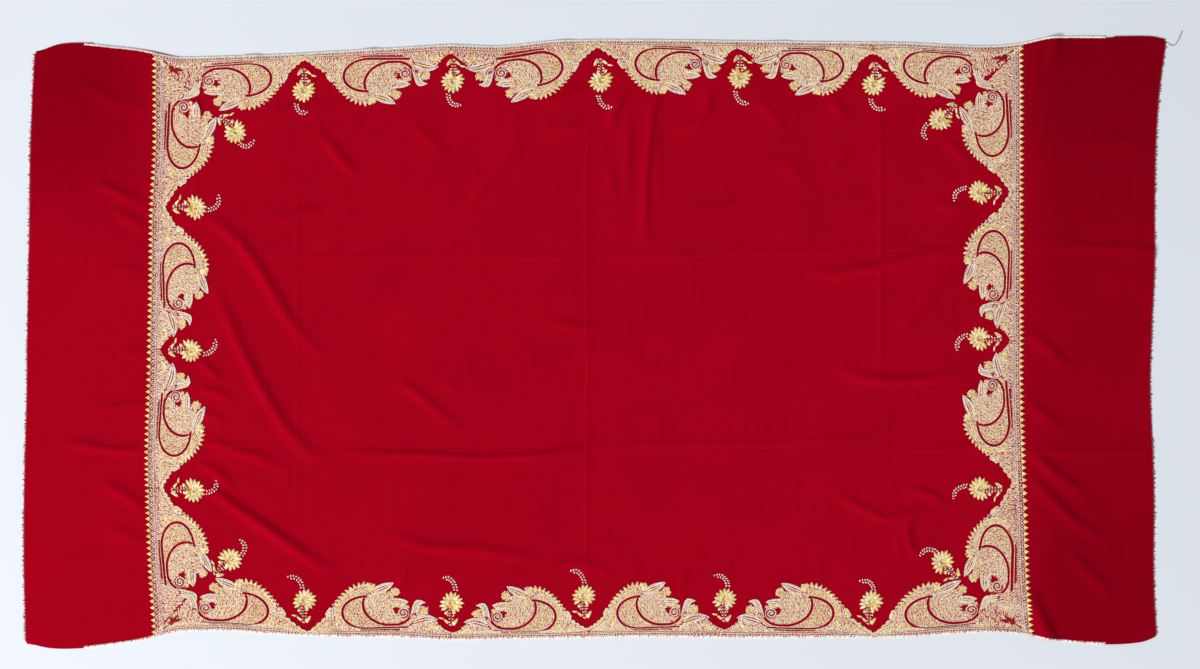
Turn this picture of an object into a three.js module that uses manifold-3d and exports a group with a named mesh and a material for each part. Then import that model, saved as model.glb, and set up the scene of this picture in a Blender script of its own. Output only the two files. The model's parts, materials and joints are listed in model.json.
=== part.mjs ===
// Embroidered wool shawl, laid out flat: one woven cloth with soft folds, four needlework borders of paisley
// cells, a flower sprig at each notch and corner, whip-stitched long edges and frayed short ends.
// Millimetres, +X along the length, +Y across it, +Z up. The cloth rests on z = 0.
import * as THREE from 'three';
import { mergeVertices } from 'three/addons/utils/BufferGeometryUtils.js';
import Module from 'manifold-3d';

const wasm = await Module();
wasm.setup();

// ---------------------------------------------------------------- driving dimensions
const LENGTH = 2036; // nominal cut length, end to end
const WIDTH = 1076; // nominal cut width, edge to edge
const CLOTH = 1.5; // wall of the wool
const GAP = 0.3; // between any two pieces
const PAD = 1.0; // height of the dense needlework

const EDGING = { width: 2.4, height: 2.0, from: -915, to: 925 }; // whip stitch over the long edges
const FRINGE = { strip: 1.4, height: 1.0, clear: 0.25, tufts: 72, length: 3.2 };

const CELL = 263; // canonical pitch of one paisley cell; real cells are stretched to their notches
const CORNER = 71; // the corner ground, measured along each edge from the corner
const CORNER_SLACK = 12; // a corner cell is this much longer than its own paisley
const TRIM = 13; // bud row and zigzag, outside the ground of the end borders
const END_DEPTH = 0.9; // end borders are this much shallower than the long ones
const NOTCH = 15; // depth of the notch between two paisley backs
const OVERRUN = 6; // a long border's block runs this far past the cloth's edge, which trims it
const LINE = 3.4; // the bare line that draws each paisley
const SCALLOP = { count: 8, height: 4.5 }; // the scalloped back of each paisley

const GRID = { along: 22, across: 12 }; // coarse mesh of the cloth before it is refined
const LIFT_TOLERANCE = 1.5; // how far a straight edge may pass over or under a fold
const EDGE_TOLERANCE = 1.0; // how far it may leave the cloth's outline
const SAMPLES = 9; // places at which each edge is tested

// The long edges as they lie, by distance along the length.
const EDGES = [
  { along: -1012, near: -540, far: 520 },
  { along: -974, near: -548, far: 533 },
  { along: -920, near: -548, far: 535 },
  { along: -866, near: -542, far: 530 },
  { along: -813, near: -534, far: 524 },
  { along: -768, near: -523, far: 514 },
  { along: -741, near: -518, far: 510 },
  { along: -652, near: -517, far: 512 },
  { along: -544, near: -524, far: 516 },
  { along: -437, near: -527, far: 522 },
  { along: -347, near: -528, far: 527 },
  { along: -258, near: -533, far: 532 },
  { along: -168, near: -531, far: 530 },
  { along: -61, near: -530, far: 540 },
  { along: 100, near: -527, far: 541 },
  { along: 279, near: -529, far: 539 },
  { along: 458, near: -528, far: 537 },
  { along: 548, near: -528, far: 536 },
  { along: 637, near: -522, far: 532 },
  { along: 709, near: -519, far: 530 },
  { along: 762, near: -522, far: 535 },
  { along: 816, near: -533, far: 546 },
  { along: 924, near: -541, far: 547 },
  { along: 992, near: -537, far: 547 },
  { along: 1022, near: -526, far: 541 },
];

// The short ends, and the line where each end border's ground begins, by distance across the width.
const ENDS = [
  { across: -545, left: -1020, leftBand: -776, rightBand: 777, right: 1010 },
  { across: -480, left: -1021, leftBand: -780, rightBand: 770, right: 1006 },
  { across: -408, left: -1023, leftBand: -785, rightBand: 766, right: 1004 },
  { across: -300, left: -1023, leftBand: -789, rightBand: 763, right: 1005 },
  { across: -193, left: -1021, leftBand: -791, rightBand: 759, right: 1002 },
  { across: -86, left: -1018, leftBand: -788, rightBand: 756, right: 998 },
  { across: 21, left: -1017, leftBand: -786, rightBand: 756, right: 1001 },
  { across: 129, left: -1015, leftBand: -784, rightBand: 756, right: 1006 },
  { across: 236, left: -1013, leftBand: -783, rightBand: 756, right: 1006 },
  { across: 344, left: -1012, leftBand: -777, rightBand: 756, right: 1008 },
  { across: 450, left: -1008, leftBand: -777, rightBand: 756, right: 1015 },
  { across: 545, left: -1003, leftBand: -777, rightBand: 755, right: 1028 },
];

// Where the cells of each border meet. Odd places are notches between two paisley backs, even ones are
// notches or corners between two scrolls.
const BORDERS = [
  { side: 'far', meets: [-791, -516, -256, 3, 256, 499, 770] },
  { side: 'near', meets: [-791, -509, -256, -9, 233, 497, 787] },
  { side: 'left', meets: [-524, -261, -13, 242, 512] },
  { side: 'right', meets: [-522, -252, 2, 269, 530] },
];

// Flower sprigs: centre of the rosette, and the turn that points the stem at its notch.
const SPRIGS = [
  { name: 'far_1', x: -518, y: 449, turn: 0 },
  { name: 'far_2', x: -253, y: 467, turn: 0 },
  { name: 'far_3', x: 14, y: 469, turn: 4 },
  { name: 'far_4', x: 262, y: 475, turn: 0 },
  { name: 'far_5', x: 502, y: 462, turn: -4 },
  { name: 'near_1', x: -512, y: -459, turn: 180 },
  { name: 'near_2', x: -256, y: -469, turn: 180 },
  { name: 'near_3', x: -18, y: -456, turn: 184 },
  { name: 'near_4', x: 234, y: -462, turn: 180 },
  { name: 'near_5', x: 497, y: -463, turn: 176 },
  { name: 'left_1', x: -720, y: -265, turn: 90 },
  { name: 'left_2', x: -723, y: -16, turn: 90 },
  { name: 'left_3', x: -712, y: 242, turn: 90 },
  { name: 'right_1', x: 691, y: -263, turn: -90 },
  { name: 'right_2', x: 687, y: 7, turn: -90 },
  { name: 'right_3', x: 691, y: 269, turn: -90 },
  { name: 'corner_far_left', x: -638, y: 374, turn: 45 },
  { name: 'corner_far_right', x: 616, y: 395, turn: -45 },
  { name: 'corner_near_left', x: -645, y: -383, turn: 135 },
  { name: 'corner_near_right', x: 619, y: -388, turn: -135 },
];

// Folds: the crest's route, its height, and how far the cloth is lifted to each side of it.
const FOLDS = [
  // left half of the field
  { crest: [[-705, 224], [-643, 192], [-607, 147], [-562, 75], [-476, -32]], height: 6, reach: 30 },
  { crest: [[-675, 75], [-643, 4], [-607, -68], [-562, -140], [-473, -217]], height: 6, reach: 30 },
  { crest: [[-691, -260], [-634, -301], [-562, -354], [-508, -390], [-473, -412]], height: 6, reach: 30 },
  { crest: [[-696, -168], [-616, -202], [-580, -211], [-535, -238]], height: 4, reach: 28 },
  { crest: [[-351, -68], [-294, -113], [-231, -166]], height: 4.5, reach: 30 },
  { crest: [[-397, -350], [-347, -354], [-294, -376], [-204, -372], [-115, -390]], height: 4.5, reach: 30 },
  { crest: [[-499, 379], [-464, 347], [-419, 308]], height: 4.5, reach: 30 },
  { crest: [[-594, 197], [-553, 231], [-490, 240]], height: 4, reach: 28 },
  { crest: [[-231, 233], [-195, 281], [-150, 329], [-124, 356]], height: 4.5, reach: 30 },
  { crest: [[-88, 421], [-52, 433], [-7, 460]], height: 3.5, reach: 28 },
  { crest: [[-75, 50], [-16, 29], [25, 27]], height: 4, reach: 28 },
  { crest: [[-311, -202], [-204, -206], [-97, -199], [-7, -193]], height: 4, reach: 28 },
  // left end panel
  { crest: [[-893, 281], [-840, 263], [-795, 242]], height: 5, reach: 30 },
  { crest: [[-850, 232], [-795, 200]], height: 4, reach: 28 },
  { crest: [[-893, -118], [-848, -115], [-798, -104]], height: 4, reach: 28 },
  { crest: [[-938, -181], [-875, -192], [-795, -193]], height: 4.5, reach: 28 },
  { crest: [[-875, -256], [-840, -277], [-798, -301]], height: 4, reach: 28 },
  // right half of the field
  { crest: [[55, 450], [23, 390]], height: 5, reach: 28 },
  { crest: [[113, 439], [91, 379], [84, 299], [77, 236], [82, 174]], height: 6, reach: 30 },
  { crest: [[211, 460], [193, 412], [166, 383], [136, 376]], height: 4.5, reach: 28 },
  { crest: [[240, 250], [166, 218]], height: 4, reach: 28 },
  { crest: [[387, 129], [440, 120], [512, 138], [584, 156], [664, 168]], height: 5, reach: 30 },
  { crest: [[440, -54], [514, -70], [601, -68], [664, -50]], height: 5, reach: 30 },
  { crest: [[557, 27], [592, 84], [664, 129]], height: 4.5, reach: 30 },
  { crest: [[431, -265], [485, -297], [521, -315], [569, -304]], height: 4.5, reach: 28 },
  { crest: [[557, -274], [592, -265], [623, -295]], height: 4, reach: 28 },
  { crest: [[569, -319], [560, -354], [592, -394]], height: 4, reach: 28 },
  { crest: [[632, 358], [682, 308]], height: 4, reach: 28 },
  { crest: [[422, 442], [449, 397]], height: 3.5, reach: 28 },
  // right end panel
  { crest: [[888, 168], [960, 162], [1050, 160]], height: 4.5, reach: 28 },
  { crest: [[771, 21], [852, -50]], height: 4, reach: 30 },
  { crest: [[771, -104], [834, -158]], height: 4, reach: 30 },
  { crest: [[780, -197], [879, -274]], height: 4.5, reach: 30 },
  { crest: [[784, -247], [852, -313], [915, -358]], height: 4.5, reach: 30 },
  { crest: [[843, -372], [927, -453]], height: 3.5, reach: 30 },
  { crest: [[780, -460], [830, -580]], height: 4.5, reach: 30 },
  { crest: [[828, 600], [820, 490]], height: 4.5, reach: 30 },
  // lifts of the far edge
  { crest: [[-598, 575], [-590, 465]], height: 4, reach: 32 },
  { crest: [[-401, 585], [-395, 475]], height: 4, reach: 32 },
  { crest: [[-61, 600], [-55, 485]], height: 4, reach: 32 },
  { crest: [[333, 600], [335, 490]], height: 3.5, reach: 30 },
];

// ---------------------------------------------------------------- small maths
const { lerp, degToRad } = THREE.MathUtils;

// Smooth curve through a table's rows: cubic between rows, straight past the ends.
function through(rows, key, column, at) {
  const last = rows.length - 1;
  let i = rows.findIndex((row) => row[key] > at) - 1;
  if (i === -2) {
    i = last - 1;
  }
  i = Math.max(0, Math.min(last - 1, i));
  const slope = (k) => {
    const a = rows[Math.max(0, k - 1)];
    const b = rows[Math.min(last, k + 1)];
    return (b[column] - a[column]) / (b[key] - a[key]);
  };
  const [a, b] = [rows[i], rows[i + 1]];
  const span = b[key] - a[key];
  const q = Math.max(0, Math.min(1, (at - a[key]) / span));
  const [q2, q3] = [q * q, q * q * q];
  return (2 * q3 - 3 * q2 + 1) * a[column] + (q3 - 2 * q2 + q) * span * slope(i)
    + (3 * q2 - 2 * q3) * b[column] + (q3 - q2) * span * slope(i + 1);
}

// How far the cloth is lifted off the floor: folds that cross are blended, and flat cloth is exactly 0.
function lift(x, y) {
  let sum = 0;
  for (const fold of FOLDS) {
    sum += foldHeight(fold, x, y) ** 3;
  }
  return Math.cbrt(sum);
}

function foldHeight({ crest, height, reach }, x, y) {
  let nearest = reach;
  let place = 0;
  const parts = crest.length - 1;
  for (let i = 0; i < parts; i += 1) {
    const [ax, ay] = crest[i];
    const [dx, dy] = [crest[i + 1][0] - ax, crest[i + 1][1] - ay];
    const q = Math.max(0, Math.min(1, ((x - ax) * dx + (y - ay) * dy) / (dx * dx + dy * dy)));
    const distance = Math.hypot(x - ax - q * dx, y - ay - q * dy);
    if (distance < nearest) {
      nearest = distance;
      place = (i + q) / parts;
    }
  }
  const across = 1 - (nearest / reach) ** 2;
  const taper = 1 - (2 * place - 1) ** 4;
  return height * taper * across * across;
}

// ---------------------------------------------------------------- the cloth as a refined sheet
function edging(x) {
  const rise = Math.min(x - EDGING.from, EDGING.to - x) / EDGING.width;
  return (EDGING.width + GAP) * Math.max(0, Math.min(1, rise));
}

function farEdge(x) {
  return through(EDGES, 'along', 'far', x) - edging(x);
}

function nearEdge(x) {
  return through(EDGES, 'along', 'near', x) + edging(x);
}

function sheetPoint(u, v) {
  const [x0, y0] = [(u - 0.5) * LENGTH, (v - 0.5) * WIDTH];
  const inset = FRINGE.strip + FRINGE.length + GAP;
  const left = through(ENDS, 'across', 'left', y0) + inset;
  const right = through(ENDS, 'across', 'right', y0) - inset;
  const x = lerp(left, right, u);
  const y = lerp(nearEdge(x0), farEdge(x0), v);
  return { u, v, x, y, lift: lift(x, y) };
}

function middle(a, b, q = 0.5) {
  return sheetPoint(lerp(a.u, b.u, q), lerp(a.v, b.v, q));
}

// True where a straight edge between two sheet points departs from the sheet or from its outline.
function tooCoarse(a, b) {
  const alongEnd = a.u === b.u && (a.u === 0 || a.u === 1);
  const alongEdge = a.v === b.v && (a.v === 0 || a.v === 1);
  for (let step = 1; step < SAMPLES; step += 1) {
    const q = step / SAMPLES;
    const p = middle(a, b, q);
    if (Math.abs(p.lift - lerp(a.lift, b.lift, q)) > LIFT_TOLERANCE) {
      return true;
    }
    const off = Math.hypot(p.x - lerp(a.x, b.x, q), p.y - lerp(a.y, b.y, q));
    if ((alongEnd || alongEdge) && off > EDGE_TOLERANCE) {
      return true;
    }
  }
  return false;
}

// Splits the longest edges of coarse triangles, and of their neighbours, until every edge lies on the sheet.
function refinedSheet() {
  const points = [];
  let triangles = [];
  for (let j = 0; j <= GRID.across; j += 1) {
    for (let i = 0; i <= GRID.along; i += 1) {
      points.push(sheetPoint(i / GRID.along, j / GRID.across));
    }
  }
  for (let j = 0; j < GRID.across; j += 1) {
    for (let i = 0; i < GRID.along; i += 1) {
      const a = j * (GRID.along + 1) + i;
      const [b, c, d] = [a + 1, a + GRID.along + 2, a + GRID.along + 1];
      triangles.push(...((i + j) % 2 ? [[a, b, c], [a, c, d]] : [[a, b, d], [b, c, d]]));
    }
  }
  const key = (a, b) => (a < b ? `${a}_${b}` : `${b}_${a}`);
  const size = (a, b) => Math.hypot(points[a].x - points[b].x, points[a].y - points[b].y);
  const known = new Map();
  const coarse = (a, b) => {
    const name = key(a, b);
    if (!known.has(name)) {
      known.set(name, tooCoarse(points[a], points[b]));
    }
    return known.get(name);
  };
  // Each triangle starts at its longest edge; of equal edges the one with the lower key comes first.
  const longestFirst = ([a, b, c]) => {
    const turns = [[a, b, c], [b, c, a], [c, a, b]];
    const byName = (p, q) => (key(p[0], p[1]) < key(q[0], q[1]) ? -1 : 1);
    const order = (p, q) => size(q[0], q[1]) - size(p[0], p[1]) || byName(p, q);
    return turns.sort(order)[0];
  };
  for (;;) {
    triangles = triangles.map(longestFirst);
    const cuts = new Map();
    const cut = (a, b) => cuts.has(key(a, b));
    for (const [a, b, c] of triangles) {
      for (const [p, q] of [[a, b], [b, c], [c, a]]) {
        if (coarse(p, q)) {
          cuts.set(key(p, q), -1);
        }
      }
    }
    if (cuts.size === 0) {
      return { points, triangles };
    }
    let grown = true;
    while (grown) {
      grown = false;
      for (const [a, b, c] of triangles) {
        if (!cut(a, b) && (cut(b, c) || cut(c, a))) {
          cuts.set(key(a, b), -1);
          grown = true;
        }
      }
    }
    const halfway = (a, b) => {
      const name = key(a, b);
      if (cuts.get(name) === -1) {
        cuts.set(name, points.push(middle(points[a], points[b])) - 1);
      }
      return cuts.get(name);
    };
    triangles = triangles.flatMap(([a, b, c]) => {
      if (!cut(a, b)) {
        return [[a, b, c]];
      }
      const m = halfway(a, b);
      const first = cut(c, a) ? [[a, m, halfway(c, a)], [m, c, halfway(c, a)]] : [[a, m, c]];
      const second = cut(b, c) ? [[m, b, halfway(b, c)], [m, halfway(b, c), c]] : [[m, b, c]];
      return [...first, ...second];
    });
  }
}

// A closed layer between two heights above the sheet's underside, on the sheet's own triangles.
function layer({ points, triangles }, bottom, top) {
  const count = points.length;
  const position = [bottom, top].flatMap((z) => points.flatMap((p) => [p.x, p.y, p.lift + z]));
  const index = triangles.flatMap(([a, b, c]) => [a, c, b, a + count, b + count, c + count]);
  const edges = new Set(triangles.flatMap(([a, b, c]) => [`${a}_${b}`, `${b}_${c}`, `${c}_${a}`]));
  for (const [a, b, c] of triangles) {
    for (const [p, q] of [[a, b], [b, c], [c, a]]) {
      if (!edges.has(`${q}_${p}`)) {
        index.push(p, q, q + count, p, q + count, p + count);
      }
    }
  }
  const geometry = new THREE.BufferGeometry();
  geometry.setAttribute('position', new THREE.Float32BufferAttribute(position, 3));
  geometry.setIndex(index);
  return geometry;
}

// ---------------------------------------------------------------- solids that are joined and cut
function toSolid(geometry) {
  const bare = geometry.clone();
  bare.deleteAttribute('normal');
  bare.deleteAttribute('uv');
  const merged = mergeVertices(bare, 1e-4);
  return new wasm.Manifold(new wasm.Mesh({
    numProp: 3,
    vertProperties: new Float32Array(merged.attributes.position.array),
    triVerts: new Uint32Array(merged.index.array),
  }));
}

function toGeometry(solid) {
  const mesh = solid.getMesh();
  const geometry = new THREE.BufferGeometry();
  geometry.setAttribute('position', new THREE.Float32BufferAttribute(mesh.vertProperties, 3));
  geometry.setIndex(Array.from(mesh.triVerts));
  return geometry;
}

// An upright block over a plan outline, tall enough to pass through the whole layer.
function block(outline) {
  const shape = new THREE.Shape(outline.map(([x, y]) => new THREE.Vector2(x, y)));
  const geometry = new THREE.ExtrudeGeometry(shape, { depth: 40, bevelEnabled: false, curveSegments: 1 });
  geometry.translate(0, 0, -10);
  return toSolid(geometry);
}

// The outline of a line drawn with a pen that narrows from one width to another.
function stroke(route, from, to) {
  const sides = [[], []];
  route.forEach(([x, y], i) => {
    const a = route[Math.max(0, i - 1)];
    const b = route[Math.min(route.length - 1, i + 1)];
    const [dx, dy] = [b[0] - a[0], b[1] - a[1]];
    const half = lerp(from, to, i / (route.length - 1)) / 2 / Math.hypot(dx, dy);
    sides[0].push([x - dy * half, y + dx * half]);
    sides[1].unshift([x + dy * half, y - dx * half]);
  });
  return sides.flat();
}

// Points on an ellipse between two angles in degrees.
function arc(cx, cy, rx, ry, start, end, steps) {
  return Array.from({ length: steps + 1 }, (_, i) => {
    const angle = degToRad(lerp(start, end, i / steps));
    return [cx + rx * Math.cos(angle), cy + ry * Math.sin(angle)];
  });
}

// ---------------------------------------------------------------- one paisley cell
// Cell coordinates: s along the border from the paisley's back to its scroll, t inward from the edge.
function paisleyBack() {
  const curve = new THREE.CubicBezierCurve(
    new THREE.Vector2(0, NOTCH),
    new THREE.Vector2(55, 43),
    new THREE.Vector2(44, 98),
    new THREE.Vector2(118, 99),
  );
  const outline = [];
  for (let i = 0; i < SCALLOP.count; i += 1) {
    for (const [q, out] of [[0, 0], [0.5, SCALLOP.height]]) {
      const u = (i + q) / SCALLOP.count;
      const point = curve.getPointAt(u);
      const along = curve.getTangentAt(u);
      outline.push([point.x - along.y * out, point.y + along.x * out]);
    }
  }
  return outline;
}

const PAISLEY_FRONT = [
  [118, 99], [125, 91], // bud, and the start of the long leaf
  [141, 104], [160, 105], [153, 91], // long leaf
  [167, 91], [166, 80], // flower cluster
  [160, 76], [184, 73], [171, 62], // short leaf
  [185, 60], [192, 57], [196, 71], // scroll
];
const PAISLEY_NECK = [[211, 72], [203, 57], [215, 60], [215, 48], [233, 41], [247, 22], [257, 12]];

// The two bare lines that part the crescent from its ground and the scrolled body from the crescent.
function paisleyLines() {
  const outer = [[187, 23], ...arc(112, 46.5, 42.5, 30.5, 272, 88, 6)];
  const inner = [...arc(155, 64, 50, 40.5, 163, 262, 4), ...arc(158, 48, 34, 24.5, 292, 385, 3)];
  return [stroke(outer, LINE * 0.5, LINE), stroke(inner, LINE, LINE)];
}

// Maps cell coordinates to the shawl's plan for one border.
function borderPlace(side, x, t) {
  switch (side) {
    case 'far':
      return [x, farEdge(x) - t];
    case 'near':
      return [x, nearEdge(x) + t];
    case 'left':
      return [through(ENDS, 'across', 'leftBand', x) + t * END_DEPTH, x];
    default:
      return [through(ENDS, 'across', 'rightBand', x) - t * END_DEPTH, x];
  }
}

function cellSolid(border, index) {
  const { side, meets } = border;
  const backFirst = index % 2 === 1;
  const [back, scroll] = backFirst ? [meets[index], meets[index + 1]] : [meets[index + 1], meets[index]];
  const corner = index === 0 && !backFirst || index === meets.length - 2 && backFirst;
  const isEnd = side === 'left' || side === 'right';
  const direction = Math.sign(scroll - back);
  const length = Math.abs(scroll - back);
  const scale = (corner ? length - CORNER_SLACK : length) / CELL;
  const place = ([s, t]) => borderPlace(side, back + direction * s * scale, t);
  const full = length / scale;
  const margin = GAP / 2;
  const rim = isEnd ? -TRIM / END_DEPTH : -OVERRUN;
  const outline = [[margin, rim], [margin, NOTCH], ...paisleyBack().slice(1), ...PAISLEY_FRONT];
  if (!corner) {
    outline.push(...PAISLEY_NECK, [full - margin, 11], [full - margin, rim]);
  }
  const plan = outline.map(place);
  if (corner) {
    const [sx, sy] = isEnd ? [side === 'left' ? -1 : 1, scroll] : [scroll, side === 'near' ? -1 : 1];
    plan.push(...cornerGround(isEnd, Math.sign(sx), Math.sign(sy)));
  }
  plan.push(...[2 / 3, 1 / 3].map((q) => place([full * q, rim])));
  let solid = block(plan);
  for (const line of paisleyLines()) {
    solid = solid.subtract(block(line.map(place)));
  }
  return solid;
}

// The mitre of the corner ground: from where the two scrolls meet out to the corner of the needlework.
function cornerGround(isEnd, sx, sy) {
  const x = through(ENDS, 'across', sx < 0 ? 'leftBand' : 'rightBand', sy * WIDTH / 2) + sx * TRIM;
  const y = sy < 0 ? nearEdge(x) : farEdge(x);
  const slip = GAP / 2 * Math.SQRT2;
  const [slipX, slipY] = isEnd ? [0, -sy * slip] : [-sx * slip, 0];
  return [-CORNER, 2].map((out) => [x + sx * out + slipX, y + sy * out + slipY]);
}

// ---------------------------------------------------------------- one flower sprig
// Sprig coordinates: the rosette's centre is the origin and its stem points to +Y.
const SPRIG = { petals: 10, tip: 22, hollow: 15 };

function sprigSolid({ x, y, turn }) {
  const angle = degToRad(turn);
  const place = ([p, q]) => [
    x + p * Math.cos(angle) - q * Math.sin(angle),
    y + p * Math.sin(angle) + q * Math.cos(angle),
  ];
  const rosette = Array.from({ length: SPRIG.petals * 2 }, (_, i) => {
    const radius = i % 2 ? SPRIG.hollow : SPRIG.tip;
    const around = Math.PI * (i + 1) / SPRIG.petals + Math.PI / 2;
    return [radius * Math.cos(around), radius * 0.92 * Math.sin(around)];
  });
  const stemAndLeaves = [[-5, 8], [5, 8], [5, 27], [20, 22], [13, 30], [1, 35], [-11, 19], [-5, 23]];
  const tail = stroke([[-9, -15], [-14, -30], [-6, -39], [7, -32]], 8, 3);
  return [rosette, stemAndLeaves, tail]
    .map((outline) => block(outline.map(place)))
    .reduce((whole, piece) => whole.add(piece));
}

// ---------------------------------------------------------------- edging and fringe
// A bar with its underside on the lifted sheet, over a plan outline given as inner and outer points in pairs.
function bar(pairs, bottom, height) {
  const position = pairs.flatMap(([inner, outer]) => [inner, outer].flatMap(([x, y]) => {
    const z = lift(x, y) + bottom;
    return [x, y, z, x, y, z + height];
  }));
  const index = [];
  const quad = (a, b, c, d) => index.push(a, b, c, a, c, d);
  const last = pairs.length - 1;
  for (let i = 0; i < last; i += 1) {
    const [a, b] = [4 * i, 4 * i + 4];
    quad(a, b, b + 2, a + 2); // underside
    quad(a + 1, a + 3, b + 3, b + 1); // top
    quad(a, a + 1, b + 1, b); // inner side
    quad(a + 2, b + 2, b + 3, a + 3); // outer side
  }
  quad(0, 2, 3, 1);
  quad(4 * last, 4 * last + 1, 4 * last + 3, 4 * last + 2);
  const geometry = new THREE.BufferGeometry();
  geometry.setAttribute('position', new THREE.Float32BufferAttribute(position, 3));
  geometry.setIndex(index);
  return geometry;
}

// Runs a bar along a row of sheet points, `away` being the outward direction across them.
function edgingBar(row, away) {
  const clear = GAP * away;
  const stitched = row.filter((p) => p.x > EDGING.from + EDGING.width && p.x < EDGING.to - EDGING.width);
  const pairs = stitched.map(({ x, y }) => [[x, y + clear], [x, y + clear + EDGING.width * away]]);
  return bar(away > 0 ? pairs.reverse() : pairs, 0, EDGING.height);
}

// A narrow strip with tufts of yarn ends, which are as uneven as frayed cloth.
function fringeStrip(row, away) {
  const at = (q) => {
    const place = q * (row.length - 1);
    const i = Math.min(row.length - 2, Math.floor(place));
    return [lerp(row[i].x, row[i + 1].x, place - i), lerp(row[i].y, row[i + 1].y, place - i)];
  };
  const ends = Array.from({ length: FRINGE.tufts * 2 + 1 }, (_, i) => {
    const [x, y] = at(i / (FRINGE.tufts * 2));
    const uneven = 0.72 + 0.28 * Math.sin(i * 2.39) * Math.cos(i * 0.71);
    const reach = GAP + FRINGE.strip + (i % 2 ? FRINGE.length * uneven : 0);
    return new THREE.Vector2(x + away * reach, y);
  });
  const root = row.map(({ x, y }) => new THREE.Vector2(x + away * GAP, y));
  const outline = new THREE.Shape([...root, ...ends.reverse()]);
  const geometry = new THREE.ExtrudeGeometry(outline, { depth: FRINGE.height, bevelEnabled: false });
  const { position } = geometry.attributes;
  for (let i = 0; i < position.count; i += 1) {
    const rise = lift(position.getX(i), position.getY(i)) + FRINGE.clear;
    position.setZ(i, position.getZ(i) + rise);
  }
  return mergeVertices(geometry.deleteAttribute('normal').deleteAttribute('uv'), 1e-4);
}

// ---------------------------------------------------------------- the shawl
const wool = { color: '#a00c24', roughness: 0.92 };
const needlework = { color: '#d8b88c', roughness: 0.7 };
const goldwork = { color: '#e6c67c', roughness: 0.6 };
const whipStitch = { color: '#e4c8ae', roughness: 0.75 };

const shawl = new THREE.Group();

function addPiece(name, geometry, finish) {
  geometry.computeVertexNormals();
  const mesh = new THREE.Mesh(geometry, new THREE.MeshStandardMaterial({ ...finish, metalness: 0 }));
  mesh.name = name;
  shawl.add(mesh);
}

const sheet = refinedSheet();
addPiece('cloth', layer(sheet, 0, CLOTH), wool);

const padLayer = toSolid(layer(sheet, CLOTH + GAP, CLOTH + GAP + PAD));
for (const border of BORDERS) {
  for (let i = 0; i < border.meets.length - 1; i += 1) {
    const solid = cellSolid(border, i).intersect(padLayer);
    addPiece(`border_${border.side}_${i + 1}`, toGeometry(solid), needlework);
  }
}
for (const sprig of SPRIGS) {
  addPiece(`sprig_${sprig.name}`, toGeometry(sprigSolid(sprig).intersect(padLayer)), goldwork);
}

const rim = (test, order) => sheet.points.filter(test).sort((a, b) => a[order] - b[order]);
addPiece('edging_far', edgingBar(rim((p) => p.v === 1, 'u'), 1), whipStitch);
addPiece('edging_near', edgingBar(rim((p) => p.v === 0, 'u'), -1), whipStitch);
addPiece('fringe_left', fringeStrip(rim((p) => p.u === 0, 'v'), -1), wool);
addPiece('fringe_right', fringeStrip(rim((p) => p.u === 1, 'v'), 1), wool);

// The origin is under the middle of the box that holds every piece.
const middleOfBox = new THREE.Box3().setFromObject(shawl).getCenter(new THREE.Vector3());
shawl.position.set(-middleOfBox.x, -middleOfBox.y, 0);

export default shawl;
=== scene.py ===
"""Embroidered wool shawl, laid out flat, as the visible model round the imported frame.

Plan sizes are in millimetres from the middle of the cloth's own drawing; meshes are in metres in the frame.
"""

import json
import logging
import math
from dataclasses import dataclass, field
from enum import Enum
from typing import Callable, Sequence

import bpy
import numpy as np
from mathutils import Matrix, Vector
from mathutils.geometry import delaunay_2d_cdt

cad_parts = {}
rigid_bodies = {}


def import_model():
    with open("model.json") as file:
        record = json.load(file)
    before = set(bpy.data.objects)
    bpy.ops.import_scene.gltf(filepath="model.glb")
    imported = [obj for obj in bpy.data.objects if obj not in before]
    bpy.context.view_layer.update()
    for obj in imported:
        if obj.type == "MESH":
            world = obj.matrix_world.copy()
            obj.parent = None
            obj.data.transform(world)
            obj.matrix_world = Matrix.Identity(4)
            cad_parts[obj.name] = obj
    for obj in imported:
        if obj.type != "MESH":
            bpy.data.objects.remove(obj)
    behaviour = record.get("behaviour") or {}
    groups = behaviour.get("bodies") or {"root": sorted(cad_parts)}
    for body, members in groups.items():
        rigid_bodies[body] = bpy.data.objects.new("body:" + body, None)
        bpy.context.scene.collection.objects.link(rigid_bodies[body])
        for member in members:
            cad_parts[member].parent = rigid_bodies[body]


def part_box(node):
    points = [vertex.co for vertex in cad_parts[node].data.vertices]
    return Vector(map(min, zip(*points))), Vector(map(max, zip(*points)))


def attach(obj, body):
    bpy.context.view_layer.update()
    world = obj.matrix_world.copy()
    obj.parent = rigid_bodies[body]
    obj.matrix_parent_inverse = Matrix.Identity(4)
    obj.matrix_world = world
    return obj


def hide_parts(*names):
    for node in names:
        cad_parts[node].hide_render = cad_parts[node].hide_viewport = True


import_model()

log = logging.getLogger("shawl")

MM = 0.001
BODY = "root"
CLOTH_WALL = 1.5
GAP = 0.3
# edges over these angles, in degrees, stay sharp
SHARP_STITCH = 78
SHARP_CLOTH = 70
# how far a backing goes down into the wool's nap
SINK = -0.1
Points = np.ndarray


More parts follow.
